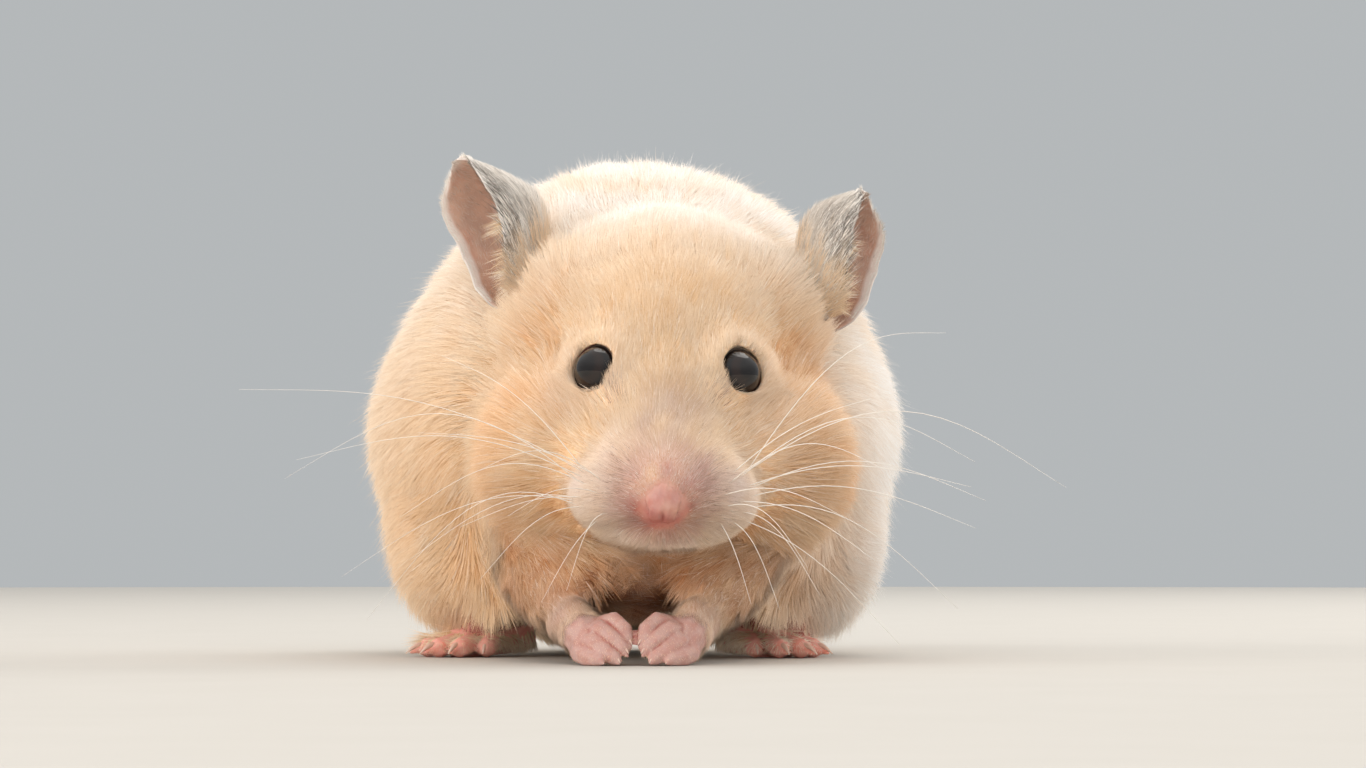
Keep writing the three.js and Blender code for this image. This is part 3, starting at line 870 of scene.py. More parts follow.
@dataclass(frozen=True)
class Anatomy:
    """Where things are on this hamster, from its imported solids.

    Attributes:
        middle: The middle between the eyes, in the model.
        roll: How far the head leans to its left, in radians.
    """

    middle: Array
    roll: float

    BODY_AXIS = -1.0
    NOSE_ROOT = np.array([0.0, -46.5, 19.2])
    ZONE_SHARPNESS = 3.0
    FORELEG = ((13, -16, 16), (7.5, -37.7, 5.4))  # its elbow and its wrist, from the paws' middle

    @classmethod
    def measured(cls) -> Anatomy:
        """Reads the head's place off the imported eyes.

        Returns:
            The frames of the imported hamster.
        """
        left, right = (np.array(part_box(f"eye_{s.word}")).mean(0) / MM for s in Side)
        span = left - right
        return cls((left + right) / 2, math.atan2(-span[2], span[0]))

    def turn(self) -> Array:
        """The matrix that leans the head."""
        c, s = math.cos(self.roll), math.sin(self.roll)
        return np.array([[c, 0, s], [0, 1, 0], [-s, 0, c]])

    def to_head(self, points: Array) -> Array:
        """Points of the model, in the head's frame."""
        return (points - self.middle) @ self.turn() + EYES_MIDDLE_IN_HEAD

    def from_head(self, points: Array) -> Array:
        """Points in the head's frame, in the model."""
        return (np.asarray(points, float) - EYES_MIDDLE_IN_HEAD) @ self.turn().T + self.middle

    def to_body(self, points: Array) -> Array:
        """Points of the model, in the body's frame."""
        return points - self.middle + EYES_MIDDLE_IN_BODY

    def from_body(self, points: Array) -> Array:
        """Points in the body's frame, in the model."""
        return np.asarray(points, float) - EYES_MIDDLE_IN_BODY + self.middle

    def eye_gap(self, points: Array) -> Array:
        """How far each point is from the centre of the nearer eye.

        Args:
            points: Points of the model.

        Returns:
            One distance a point.
        """
        head = self.to_head(points)
        folded = np.column_stack([np.abs(head[:, 0]), head[:, 1:]])
        return np.linalg.norm(folded - [EYE_OFFSET, *EYES_MIDDLE_IN_HEAD[1:]], axis=1)

    def shares(self, points: Array, zones: Sequence[Zone]) -> Array:
        """How much each zone counts at each point.

        Args:
            points: Points of the model.
            zones: The zones.

        Returns:
            Shares that add up to one, by point and zone.
        """
        far = np.column_stack([zone.place.far(self, points) for zone in zones])
        weight = np.exp(-self.ZONE_SHARPNESS * (far - far.min(1, keepdims=True)))
        return weight / weight.sum(1, keepdims=True)

    def cuts(self, points: Array) -> Array:
        """The coat's sizes at each point, as rows of Cut."""
        return self.shares(points, ZONES) @ np.array([zone.cut.row() for zone in ZONES])

    def tint(self, points: Array) -> Array:
        """The colour of the coat at each point.

        Args:
            points: Points of the model.

        Returns:
            Linear colours.
        """
        drift = Ripple(5.0, 31)(points)[:, None] * 0.3 + Ripple(1.6, 32)(points)[:, None] * 0.2
        colour = np.tile(linear(BASE_COAT), (len(points), 1))
        for marking in MARKINGS:
            share = np.exp(-marking.place.far(self, points))[:, None] * marking.strength
            colour += (linear(marking.colour) - colour) * np.clip(share * (1 + drift), 0, 1)
        return colour

    def lie(self, points: Array, normals: Array) -> Array:
        """The way that the coat lies at each point, along the skin.

        Args:
            points: Points of the model.
            normals: The skin's normals there.

        Returns:
            Unit directions.
        """
        head, body = self.to_head(points), self.to_body(points)
        from_nose = unit(head - self.NOSE_ROOT) @ self.turn().T
        out = np.abs(body[:, 0] - self.BODY_AXIS)
        cheek = rise(7, 16, out) * rise(34, 22, head[:, 2])
        from_nose[:, 2] -= 0.45 * cheek
        hang = rise(8, 30, out) * 0.75 + rise(30, 45, body[:, 1]) * 0.9
        hang = np.maximum(hang, rise(24, 14, body[:, 2]) * rise(-6, -16, body[:, 1]) * 1.6)
        hang = np.maximum(hang, rise(13, 6, body[:, 2]) * rise(-20, -12, body[:, 1]) * 2.5)
        aside = 0.012 * (body[:, 0] - self.BODY_AXIS)
        trunk = np.column_stack([aside, np.ones(len(points)), -hang])
        in_head = rise(-10, -24, head[:, 1]) * rise(8, 15, head[:, 2])
        way = unit(trunk) + (from_nose - unit(trunk)) * in_head[:, None]
        for side in Side:
            start, end = (
                np.array([PAW_CENTRE_X + side.value * x, y, z]) for x, y, z in self.FORELEG
            )
            line = end - start
            place = np.clip((body - start) @ line / (line @ line), 0, 1)
            away = np.linalg.norm(body - start - place[:, None] * line, axis=1)
            near = rise(11, 7, away)[:, None]
            way = way + (unit(line[None]) - way) * near
            centre = np.array([side.value * EYE_OFFSET, *EYES_MIDDLE_IN_HEAD[1:]])
            eye = unit(head - centre)
            gap = np.linalg.norm(head - centre, axis=1)
            way = way + (0.7 * eye + 0.8 * from_nose - way) * rise(6.0, 3.4, gap)[:, None] * 0.7
        return across(way, normals)


HEAD, BODY = Space.HEAD, Space.BODY

ZONES = [
    Zone("nose_rim", Place((0, -50, 19), (4.6, 3, 3.6)), Cut(0.55, 0.07, 20, 0.25, 60, 0.1, 0.2)),
    Zone("muzzle", Place((6.3, -45.5, 19.5), (4.4, 5, 4.8)), Cut(1.9, 0.08, 21, 0.6, 58, 0.3, 0.25)),
    Zone("chin", Place((0, -45, 14.5), (7, 5, 2.4)), Cut(2.5, 0.09, 22, 0.8, 46, 0.35, 0.25)),
    Zone("bridge", Place((0, -43.5, 28.5), (5.5, 4, 6)), Cut(2.4, 0.09, 14, 0.75, 52, 0.35, 0.2)),
    Zone("eye_ring", Place((8.4, -36.6, 34.6), (4.6, 4.4, 4.8)), Cut(1.5, 0.08, 16, 0.5, 60, 0.25, 0.2)),
    Zone("forehead", Place((0, -34, 42), (9, 8, 6.5)), Cut(3.6, 0.105, 14, 1.35, 44, 0.4, 0.22)),
    Zone("cheek_front", Place((10, -38.5, 27), (4.6, 5, 5.5)), Cut(3.6, 0.1, 14, 1.15, 44, 0.4, 0.22)),
    Zone("cheek", Place((17, -29, 24), (8, 9, 9.5)), Cut(6.0, 0.13, 14, 1.9, 28, 0.4, 0.22)),
    Zone("crown", Place((0, -21, 51), (13, 9, 6)), Cut(5.0, 0.13, 15, 1.65, 28, 0.35, 0.22)),
    Zone("ear_foot", Place((15.5, -20.5, 43.5), (5, 6, 5.5)), Cut(6.2, 0.13, 26, 1.0, 30, 0.55, 0.32)),
    Zone("throat", Place((0, -26, 12), (13, 9, 6), BODY), Cut(4.6, 0.125, 15, 1.7, 25, 0.35, 0.25)),
    Zone("foreleg", Place((11, -30, 8.5), (5, 9, 5), BODY), Cut(3.6, 0.11, 17, 1.3, 31, 0.35, 0.25)),
    Zone("shoulder", Place((20, -6, 34), (10, 11, 17), BODY), Cut(7.0, 0.16, 14, 2.4, 16, 0.4, 0.22)),
    Zone("back", Place((0, 12, 62), (26, 24, 13), BODY, False), Cut(6.0, 0.16, 13, 2.3, 14.5, 0.4, 0.22)),
    Zone("flank", Place((34, 14, 30), (11, 22, 20), BODY), Cut(6.6, 0.17, 14, 2.5, 14.5, 0.4, 0.22)),
    Zone("rump", Place((0, 46, 30), (26, 14, 22), BODY, False), Cut(7.0, 0.22, 14, 2.6, 8.5, 0.5, 0.24)),
    Zone("belly", Place((0, 14, 3), (26, 26, 5), BODY, False), Cut(3.6, 0.2, 10, 1.3, 8, 0.3, 0.2)),
    Zone("thigh", Place((25, 4, 12), (9, 15, 9), BODY), Cut(6.0, 0.15, 16, 2.2, 17, 0.4, 0.25)),
    Zone("wrist", Place((6.8, -37.8, 4.6), (3.2, 2.6, 3.6), BODY), Cut(1.7, 0.085, 16, 0.5, 50, 0.3, 0.22)),
    Zone("hand", Place((4.4, -42.6, 3.0), (4, 2.6, 3.2), BODY), Cut(0.5, 0.045, 14, 0.4, 9, 0.1, 0.25)),
    Zone("hindfoot", Place((19, -4, 0.6), (9, 8, 1.9), BODY), Cut(0.7, 0.06, 16, 0.4, 8, 0.1, 0.25)),
    Zone("tail", Place((-3.6, 56, 12.5), (3.6, 7, 4), BODY, False), Cut(1.3, 0.1, 16, 0.3, 10, 0.1, 0.2)),
]

BASE_COAT = "#f4d3ab"
# Some of these patches are painted light or shade rather than the coat's own colour, as noted at each.
MARKINGS = [
    Marking(Place((0, 50, 30), (30, 16, 26), BODY, False), "#f8e7d2", 0.9),
    Marking(Place((34, 10, 28), (12, 30, 24), BODY), "#fae3c8", 0.9),
    # Pale cream back, painted whiter on top as painted light from above.
    Marking(Place((0, 18, 62), (42, 46, 23), BODY, False), "#fff9f3", 1.0),
    # Painted light: the hamster's left flank is painted white where the light from the right falls on it.
    Marking(Place((38, 2, 28), (18, 36, 46), BODY, False), "#ffffff", 1.0),
    # Pale fur low on the hamster's left side, whitened on this side only as painted light.
    Marking(Place((29, 0, 11), (12, 18, 15), BODY, False), "#ffffff", 0.95),
    # Painted shade: the hamster's right flank is painted a warmer peach, on the side away from the light.
    Marking(Place((-21, -8, 20), (12, 14, 16), BODY, False), "#f3c696", 0.85),
    Marking(Place((17, -10, 18), (8, 11, 13), BODY, False), "#f0bd88", 0.8),
    Marking(Place((0, 14, 2), (30, 30, 7), BODY, False), "#f3e0c8", 0.8),
    # Pale crown, painted whiter on top as painted light from above.
    Marking(Place((0, -17, 54), (17, 11, 8)), "#fff8f0", 1.0),
    Marking(Place((0, -33, 42), (12, 9, 8)), "#eec79a", 0.8),
    Marking(Place((14, -30, 36), (6, 8, 7)), "#eac096", 0.7),
    Marking(Place((15, -31, 24), (8, 9, 9)), "#efb47a", 0.9),
    # Painted shade: the cheek on the hamster's left is painted darker, on this side only.
    Marking(Place((16.5, -26, 34), (4, 8, 5.5), HEAD, False), "#d3a070", 0.75),
    Marking(Place((0, -26, 13), (14, 10, 8), BODY), "#e5893d", 1.0),
    # Painted shade: dark brown in the gap between the forelegs, under the chest.
    Marking(Place((0, -29, 6.5), (6, 8, 4), BODY), "#a2541f", 0.9),
    Marking(Place((11.5, -29, 8), (4.5, 9, 4), BODY), "#cc9a74", 0.85),
    # Orange fur under the chin, painted darker there as painted shade of the chin.
    Marking(Place((8.5, -30, 12.5), (5, 8, 4), BODY), "#c57c3c", 0.75),
    Marking(Place((7.5, -38, 5.5), (4, 4, 4), BODY), "#dfb5a0", 0.8),
    Marking(Place((9, -37, 29.5), (4.5, 5, 3.6)), "#ecc8a8", 0.7),
    Marking(Place((8.4, -37, 34.6), (4.6, 4.4, 4.8)), "#e2c2a6", 0.6),
    Marking(Place((0, -41, 33), (5, 5, 7)), "#dfb990", 0.7),
    Marking(Place((0, -45.5, 28), (4.2, 4, 4.4)), "#c2a08d", 0.9),
    Marking(Place((7, -45, 20.5), (4.6, 5, 5)), "#f2dccf", 0.9),
    # Pale chin, painted lighter as painted light on its underside.
    Marking(Place((0, -46, 14.2), (7, 5, 2.6)), "#ffe9d6", 0.95),
    Marking(Place((3.4, -49, 21.8), (2.6, 3, 3.2)), "#cf9f93", 0.75),
    Marking(Place((0, -50, 23.2), (2.6, 4, 3.6)), "#cc9c90", 0.8),
    Marking(Place((0, -50, 17.6), (5.4, 3, 2.7)), "#b26b63", 0.95),
    Marking(Place((0, -50, 16.3), (4.6, 3, 0.9)), "#b5665a", 0.95),
    Marking(Place((0, -51, 19.7), (2.6, 3, 2.2)), "#ba8a82", 0.95),
    # Painted shade: dark red in the nostrils.
    Marking(Place((3.3, -49.7, 18.1), (0.7, 3, 1.3)), "#9c4f47", 0.7),
]


# ------------------------------------------------------------------------------------------------
# Pieces
# ------------------------------------------------------------------------------------------------


def place_piece(
    name: str,
    mesh: bpy.types.Mesh,
    material: bpy.types.Material,
    replaces: Sequence[str] = (),
    shades: bool = True,
) -> bpy.types.Object:
    """Adds a finished piece that moves with the body.

    Args:
        name: The piece's name.
        mesh: Its mesh, in metres.
        material: Its material.
        replaces: The nodes that it stands for.
        shades: Whether it casts a shadow, which thin pale hair hardly does.

    Returns:
        The piece.
    """
    obj = bpy.data.objects.new(name, mesh)
    obj.visible_shadow = shades
    bpy.context.scene.collection.objects.link(obj)
    mesh.materials.append(material)
    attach(obj, ROOT)
    if replaces:
        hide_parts(*replaces)
    LOG.info("%s: %d faces", name, len(mesh.polygons))
    return obj


def set_value(mesh: bpy.types.Mesh, name: str, values: Array) -> None:
    """Stores a number or a colour at each point of a mesh.

    Args:
        mesh: The mesh.
        name: What materials call it.
        values: One number a point, or one colour a row.
    """
    if values.ndim == 1:
        layer = mesh.attributes.new(name, "FLOAT", "POINT")
        layer.data.foreach_set("value", values.astype(np.float32))
        return
    rows = np.column_stack([values, np.ones(len(values))]).astype(np.float32)
    mesh.attributes.new(name, "FLOAT_COLOR", "POINT").data.foreach_set("color", rows.ravel())


@dataclass
class Lid:
    """The rim of the lids round one eye."""

    side: Side
    radius: float = 2.95
    thickness: float = 0.17
    corner: float = 0.2
    steps: int = 96
    sides: int = 14

    def surface(self, anatomy: Anatomy) -> Surface:
        """Builds the rim as a closed ring, a little pointed at the two corners of the eye.

        Args:
            anatomy: The frames.

        Returns:
            The ring.
        """
        faces = EYE_FACES * [self.side.value, 1, 1]
        ahead = unit(np.cross([0.0, 0.0, 1.0], faces))
        top = np.cross(faces, ahead)
        centre = np.array([self.side.value * EYE_OFFSET, *EYES_MIDDLE_IN_HEAD[1:]])
        centre = centre + faces * LID_LIFT
        turns = np.arange(self.steps) * 2 * math.pi / self.steps
        tilt = math.radians(12) * self.side.value
        points = []
        for turn in turns:
            out = ahead * math.cos(turn) + top * math.sin(turn)
            pointed = abs(math.cos(turn + tilt)) ** 9
            reach = self.radius + self.corner * pointed
            thick = self.thickness * (1 - 0.25 * pointed)
            angles = np.arange(self.sides) * 2 * math.pi / self.sides
            points.append(centre + out * reach + thick * ring_at(angles, out, faces * 0.9))
        rows = np.array(points)
        rows = np.vstack([rows, rows[:1]])
        made = grid(rows, caps=False)
        faces_index = made.faces % (self.steps * self.sides)
        return Surface(anatomy.from_head(made.points[: self.steps * self.sides]), faces_index)


@dataclass
class Nose:
    """The bare pad of the nose, with its nostrils and the cleft below them."""

    centre: tuple[float, float, float] = (0.0, -49.0, 19.5)
    half: tuple[float, float, float] = (2.8, 2.4, 2.8)
    rows: int = 90
    columns: int = 120

    def surface(self, anatomy: Anatomy) -> Surface:
        """Builds the pad as a ball that is pressed in and drawn out by place.

        Args:
            anatomy: The frames.

        Returns:
            The closed pad.
        """
        polar = (np.arange(self.rows) + 0.5) / self.rows * math.pi
        turn = np.arange(self.columns) * 2 * math.pi / self.columns
        x = np.sin(polar)[:, None] * np.cos(turn)
        y = np.cos(polar)[:, None] * np.ones(self.columns)
        z = -np.sin(polar)[:, None] * np.sin(turn)
        front = rise(0.1, -0.7, y)
        width = 1 - 0.34 * rise(-0.2, 0.9, z) + 0.05 * rise(0.1, -0.6, z)
        aside = np.abs(x)
        cleft = np.exp(-((x / 0.08) ** 2)) * rise(-0.3, -0.75, z) * front * 0.1
        ledge = np.exp(-((x / 0.7) ** 2)) * np.exp(-(((z + 0.45) / 0.4) ** 2)) * front * 0.17
        slit = (aside - 0.84) * 0.5 + (z + 0.3) * 0.87, (aside - 0.84) * -0.87 + (z + 0.3) * 0.5
        nostril = np.exp(-((slit[0] / 0.42) ** 2) - (slit[1] / 0.13) ** 2) * front * 0.42
        folds = 0.012 * np.sin(14 * x + 5 * z) * np.sin(11 * z - 6 * x) * front
        reach = 1 + ledge + folds - cleft - nostril
        local = np.stack([x * width * reach, y * reach, z * reach], -1) * self.half
        return grid_to_model(local + self.centre, anatomy)


def grid_to_model(rows: Array, anatomy: Anatomy) -> Surface:
    """Closes rows of points in the head's frame into a ball-like surface of the model.

    Args:
        rows: Rows of points in the head's frame.
        anatomy: The frames.

    Returns:
        The closed surface.
    """
    made = grid(rows)
    made.points = anatomy.from_head(made.points)
    return outward(made)


def outward(surface: Surface) -> Surface:
    """Turns a closed surface so that its faces look out.

    Args:
        surface: A closed surface.

    Returns:
        The surface, or a copy with its faces turned.
    """
    a, b, c = (surface.points[surface.faces[:, k]] - surface.points.mean(0) for k in range(3))
    volume = (a * np.cross(b, c)).sum()
    return surface if volume > 0 else Surface(surface.points, surface.faces[:, ::-1])


@dataclass
class Skin:
    """One closed skin over the whole body, under the coat and bare where the hamster is."""

    anatomy: Anatomy
    body_voxel: float = 0.6
    body_overlap: float = 0.35
    hand_voxel: float = 0.2
    foot_voxel: float = 0.24
    wrist_overlap: float = 0.12
    fill: float = 13.0
    fill_voxel: float = 1.6
    fill_most: float = 12.0
    surface: Surface = field(init=False)

    NECK = Place((21, -16, 27), (15, 17, 22), Space.BODY)
    NAPE = Place((0, -10, 57), (19, 13, 9), Space.BODY, False)
    ELBOW = Place((16.5, -14, 11), (7, 10, 8), Space.BODY)

    LEGS = ("foreleg_left", "foreleg_right", "hindleg_left", "hindleg_right")
    FLESH = ("torso", "head", "nose", *LEGS)
    SMALL = ("hand_left", "hand_right", "hindfoot_left", "hindfoot_right", "tail")
    PAD_CENTRE = (7.3, -45.0, 19.8)
    PAD_HALF = (4.6, 5.0, 4.4)

    def build(self) -> bpy.types.Object:
        """Builds the skin.

        Returns:
            The piece, which stands for every node of flesh.
        """
        nodes = [*self.FLESH, *self.SMALL]
        grown = [Surface.of_node(n).moved_out(self.body_overlap) for n in nodes]
        grown += [self._pad(side).moved_out(self.body_overlap) for side in Side]
        outline = self._filled(Surface.joined(grown).remeshed(self.body_voxel).smoothed(3))
        near_eye = self.anatomy.eye_gap(outline.points)[:, None]
        depth = self.anatomy.cuts(outline.points)[:, 3:4] * (0.25 + 0.75 * rise(3.5, 6.5, near_eye))
        depth = depth + self.body_overlap
        inwards = outline.smoothed(4).normals() * depth
        skin = Surface(outline.points - inwards, outline.faces).smoothed(4)
        for name in self.SMALL:
            voxel = self.hand_voxel if name.startswith("hand") else self.foot_voxel
            form = Surface.of_node(name).moved_out(self.wrist_overlap).remeshed(voxel).smoothed(3)
            skin = skin.fused(form)
        skin = skin.fused(Nose().surface(self.anatomy))
        for side in Side:
            skin = skin.fused(outward(Lid(side).surface(self.anatomy)))
        skin.points[:, 2] = np.maximum(skin.points[:, 2], 0.02)
        self.surface = skin
        mesh = skin.mesh("skin")
        set_value(mesh, "tint", self.tint(skin.points))
        set_value(mesh, "bare", self.bare(skin.points))
        # The hollows of the skin, where the skin material paints shade on the bare parts.
        set_value(mesh, "crease", rise(0.0, 0.03, skin.smoothed(1).hollows()) * 0.9)
        material = SkinFinish().material()
        return place_piece("skin", mesh, material, [*nodes])

    def _filled(self, outline: Surface) -> Surface:
        """Fills the crease between cheek, neck and shoulder, as thick loose fur does.

        Args:
            outline: The outline with its crease.

        Returns:
            The outline without it.
        """
        wide = outline.moved_out(self.fill).remeshed(self.fill_voxel).smoothed(4)
        closed = wide.moved_out(-self.fill).smoothed(2)
        tree = BVHTree.FromPolygons(closed.points.tolist(), closed.faces.tolist())
        places = (self.NECK, self.NAPE, self.ELBOW)
        nearest = np.min([place.far(self.anatomy, outline.points) for place in places], axis=0)
        share = rise(1.25, 0.7, nearest)
        share *= rise(3, 7, outline.points[:, 2])
        normals = outline.normals()
        step = np.zeros(len(share))
        for number in np.flatnonzero(share > 0.01):
            start, way = Vector(outline.points[number]), Vector(normals[number])
            gap = tree.ray_cast(start, way, self.fill_most)[3]
            step[number] = gap or 0.0
        made = Surface(outline.points + normals * (step * share)[:, None], outline.faces)
        return made.smoothed(12, (share * 0.5)[:, None])

    def _pad(self, side: Side) -> Surface:
        """The flesh of a whisker pad, without its whiskers.

        Args:
            side: Which side it is on.

        Returns:
            Its convex surface.
        """
        points = Surface.of_node(f"whisker_pad_{side.word}").points
        centre = np.array([side.value * self.PAD_CENTRE[0], *self.PAD_CENTRE[1:]])
        reach = (((self.anatomy.to_head(points) - centre) / self.PAD_HALF) ** 2).sum(1)
        return hull(points[reach < 1.04])

    def bare(self, points: Array) -> Array:
        """How bare the skin is at each point, from 0 to 1.

        Args:
            points: Points of the model.

        Returns:
            One value a point.
        """
        head = self.anatomy.to_head(points)
        shown = self._on_small(points, 1.2, 0.2)
        nose = rise(1.2, 0.8, self.nose_gap(head)) * rise(-45.5, -47.5, head[:, 1])
        shown = np.maximum(shown, nose)
        return np.maximum(shown, self.lid(points))

    def _on_small(self, points: Array, far: float, close: float) -> Array:
        """How much of points lies on a hand, a foot or the tail.

        Args:
            points: Points of the model.
            far: How far from its box nothing is left.
            close: How far from its box all is left.

        Returns:
            One value a point, from 0 to 1.
        """
        near = np.zeros(len(points))
        for name in self.SMALL:
            low, high = (np.array(corner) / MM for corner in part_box(name))
            outside = np.maximum(np.maximum(low - points, points - high), 0)
            near = np.maximum(near, rise(far, close, np.linalg.norm(outside, axis=1)))
        return near * rise(6.5, 4.5, self._paw_height(self.anatomy.to_body(points)))

    @staticmethod
    def nose_gap(head: Array) -> Array:
        """How far points are from the bare nose, as a share of its reach, which is wider below."""
        width = 2.1 + 1.1 * rise(20.8, 18.0, head[:, 2])
        return np.hypot(head[:, 0] / width, (head[:, 2] - 18.9) / 2.7)

    @staticmethod
    def _paw_height(body: Array) -> Array:
        """How high points are on a foot, or how far up a hand, or nothing at the tail.

        Args:
            body: Points in the body's frame.

        Returns:
            One height a point.
        """
        furred = 6 * rise(-41.2, -38.6, body[:, 1] + 0.35 * (body[:, 2] - 3))
        height = np.where(body[:, 1] < -30, furred, body[:, 2])
        return np.where(body[:, 1] > 45, 0.0, height)

    def lid(self, points: Array) -> Array:
        """How near each point is to the rim of a lid, from 0 to 1.

        Args:
            points: Points of the model.

        Returns:
            One value a point.
        """
        head = self.anatomy.to_head(points)
        head[:, 0] = np.abs(head[:, 0])
        offset = head - [EYE_OFFSET, *EYES_MIDDLE_IN_HEAD[1:]]
        out = offset @ EYE_FACES
        away = np.linalg.norm(offset - out[:, None] * EYE_FACES, axis=1)
        gap = np.hypot(away - Lid.radius, out - LID_LIFT)
        return rise(0.55, 0.3, gap)

    def tint(self, points: Array) -> Array:
        """The skin's colour at each point.

        Args:
            points: Points of the model.

        Returns:
            Linear colours.
        """
        colour = self.anatomy.tint(points)
        paws = self._on_small(points, 1.6, 0.4)[:, None]
        hind = rise(-30, -20, self.anatomy.to_body(points)[:, 1])[:, None]
        pink = linear("#bf9a91") + (linear("#eba99b") - linear("#bf9a91")) * hind
        colour += (pink - colour) * paws
        rim = self.lid(points)[:, None]
        return colour + (linear("#1f1411") - colour) * rim * 0.95


@dataclass
class Eye:
    """One eye: a ball with a shallow bulge of clear cornea."""

    anatomy: Anatomy
    side: Side
    bulge: float = 0.12
    rows: int = 48
    columns: int = 64

    def build(self) -> bpy.types.Object:
        """Builds the eye in its socket.

        Returns:
            The piece.
        """
        faces = EYE_FACES * [self.side.value, 1, 1]
        side = unit(np.cross([0.0, 0.0, 1.0], faces))
        top = np.cross(faces, side)
        polar = (np.arange(self.rows) + 0.5) / self.rows * math.pi
        turn = np.arange(self.columns) * 2 * math.pi / self.columns
        ring = ring_at(turn, side, top)
        reach = EYE_RADIUS + self.bulge * rise(0.95, 0.1, polar)
        ways = np.sin(polar)[:, None, None] * ring + np.cos(polar)[:, None, None] * faces
        centre = np.array([self.side.value * EYE_OFFSET, *EYES_MIDDLE_IN_HEAD[1:]])
        made = grid_to_model(ways * reach[:, None, None] + centre, self.anatomy)
        mesh = made.mesh(f"eye_ball_{self.side.word}")
        level = unit(self.anatomy.to_head(made.points) - centre) @ faces
        set_value(mesh, "iris", rise(0.62, 0.72, level) * rise(0.92, 0.82, level) * 0.5)
        name = f"eye_{self.side.word}"
        return place_piece(f"{name}_ball", mesh, EyeFinish().material(), [name])


@dataclass(frozen=True)
class EarShape:
    """The line and turn of one ear, in the head's frame."""

    tip: tuple[float, float, float]
    ridge: tuple[float, float, float]
    root: tuple[float, float, float]
    turn: float


EARS = {
    Side.LEFT: EarShape((23.8, -14.5, 58.4), (17, -12.5, 54), (15.4, -16, 44), 71),
    Side.RIGHT: EarShape((-27.1, -14.5, 60.9), (-17.6, -12.5, 55.5), (-15.4, -16, 45.5), 62),
}


@dataclass
class Ear:
    """A cupped ear with a rolled, thin rim.

    Attributes:
        anatomy: The frames.
        side: Whose ear it is.
    """

    anatomy: Anatomy
    side: Side
    rows: int = 56
    columns: int = 48
    thickness: float = 0.7

    LENGTH = 19.0
    ALONG = (0, 0.12, 0.28, 0.5, 0.7, 0.8, 0.88, 0.94, 0.975, 1)
    RADIUS = (3.0, 4.4, 5.7, 6.4, 6.3, 6.1, 5.6, 5.0, 4.4, 3.6)
    HALF_ANGLE = (140, 128, 116, 104, 88, 76, 64, 45, 30, 12)

    def __post_init__(self) -> None:
        """Works out the ear's own axes."""
        shape = EARS[self.side]
        self.spine = smooth_line([shape.root, shape.ridge, shape.tip], self.rows)
        axis = unit(np.subtract(shape.tip, shape.root))
        forwards = unit(np.array([0.0, -1, 0]) - np.array([0.0, -1, 0]) @ axis * axis)
        out = np.array([float(self.side.value), 0, 0])
        out = unit(out - out @ axis * axis)
        turn = math.radians(shape.turn)
        self.axis = axis
        self.opening = unit(forwards * math.cos(turn) + out * math.sin(turn))
        self.cross = unit(np.cross(axis, self.opening))

    def at(self, along: Array, share: Array, shift: float | Array) -> Array:
        """Points of the cup.

        Args:
            along: Place from root to tip, from 0 to 1.
            share: Place across, from -1 to 1.
            shift: Place through its thickness, from -1 inside to 1 outside.

        Returns:
            Points in the head's frame.
        """
        radius = np.interp(along, self.ALONG, self.RADIUS)
        half = np.radians(np.interp(along, self.ALONG, self.HALF_ANGLE))
        thin = 1 - 0.45 * share**2 * (0.4 + 0.6 * along)
        flare = 0.45 * rise(0.75, 1.0, np.abs(share)) * rise(0.1, 0.4, along)
        wobble = 0.06 * np.sin(along * 9 + self.side.value) * np.abs(share)
        reach = radius + flare + wobble + shift * self.thickness * 0.5 * thin
        stations = np.linspace(0, 1, self.rows)
        base = np.stack([np.interp(along, stations, column) for column in self.spine.T], -1)
        angle = share * half
        lean = (radius - reach * np.cos(angle))[..., None] * self.opening
        return base + (reach * np.sin(angle))[..., None] * self.cross + lean

    def from_edge(self, along: Array, share: Array) -> Array:
        """How far places of the cup are from its edge.

        Args:
            along: Places from root to tip, from 0 to 1.
            share: Places across, from -1 to 1.

        Returns:
            Distances along the surface.
        """
        radius = np.interp(along, self.ALONG, self.RADIUS)
        half = np.radians(np.interp(along, self.ALONG, self.HALF_ANGLE))
        return np.minimum((1 - np.abs(share)) * half * radius, (1 - along) * self.LENGTH)

    def surface(self) -> tuple[Surface, Array]:
        """The ear with, for each point, its place along, across and through.

        Returns:
            The surface, and one row of three places a point.
        """
        along = np.linspace(0, 1, self.rows)[:, None] * np.ones((1, 1))
        share = np.linspace(-1, 1, self.columns)[None]
        edge = np.linspace(1, -1, 5)[1:-1][None]
        ones = np.ones_like(edge)
        places = np.concatenate([share, ones, share[:, ::-1], -ones], 1)
        shifts = np.concatenate([np.ones_like(share), edge, -np.ones_like(share), -edge], 1)
        rounded = 1 + 0.035 * np.sqrt(np.maximum(0, 1 - shifts**2))
        alongs = along * np.ones_like(places)
        ones = np.ones_like(alongs)
        rows = self.at(alongs, places * rounded * ones, shifts * ones)
        made = grid(rows)
        flat = [np.broadcast_to(v, alongs.shape).ravel() for v in (alongs, places, shifts)]
        facts = np.column_stack(flat)
        facts = np.vstack([facts, [[0, 0, 0], [1, 0, 0]]])
        made.points = self.anatomy.from_head(made.points)
        return outward(made), facts

    def build(self) -> bpy.types.Object:
        """Builds the ear.

        Returns:
            The piece.
        """
        made, facts = self.surface()
        mesh = made.mesh(f"ear_cup_{self.side.word}")
        along, share, shift = facts.T
        set_value(mesh, "inner", rise(0.3, -0.6, shift))
        rim = rise(0.85, 0.4, self.from_edge(along, share)) * rise(0.0, 0.3, along)
        set_value(mesh, "rim", rim)
        set_value(mesh, "low", rise(0.55, 0.15, along))
        name = f"ear_{self.side.word}"
        return place_piece(f"{name}_cup", mesh, EarFinish().material(), [name])


# ------------------------------------------------------------------------------------------------
# The coat
# ------------------------------------------------------------------------------------------------


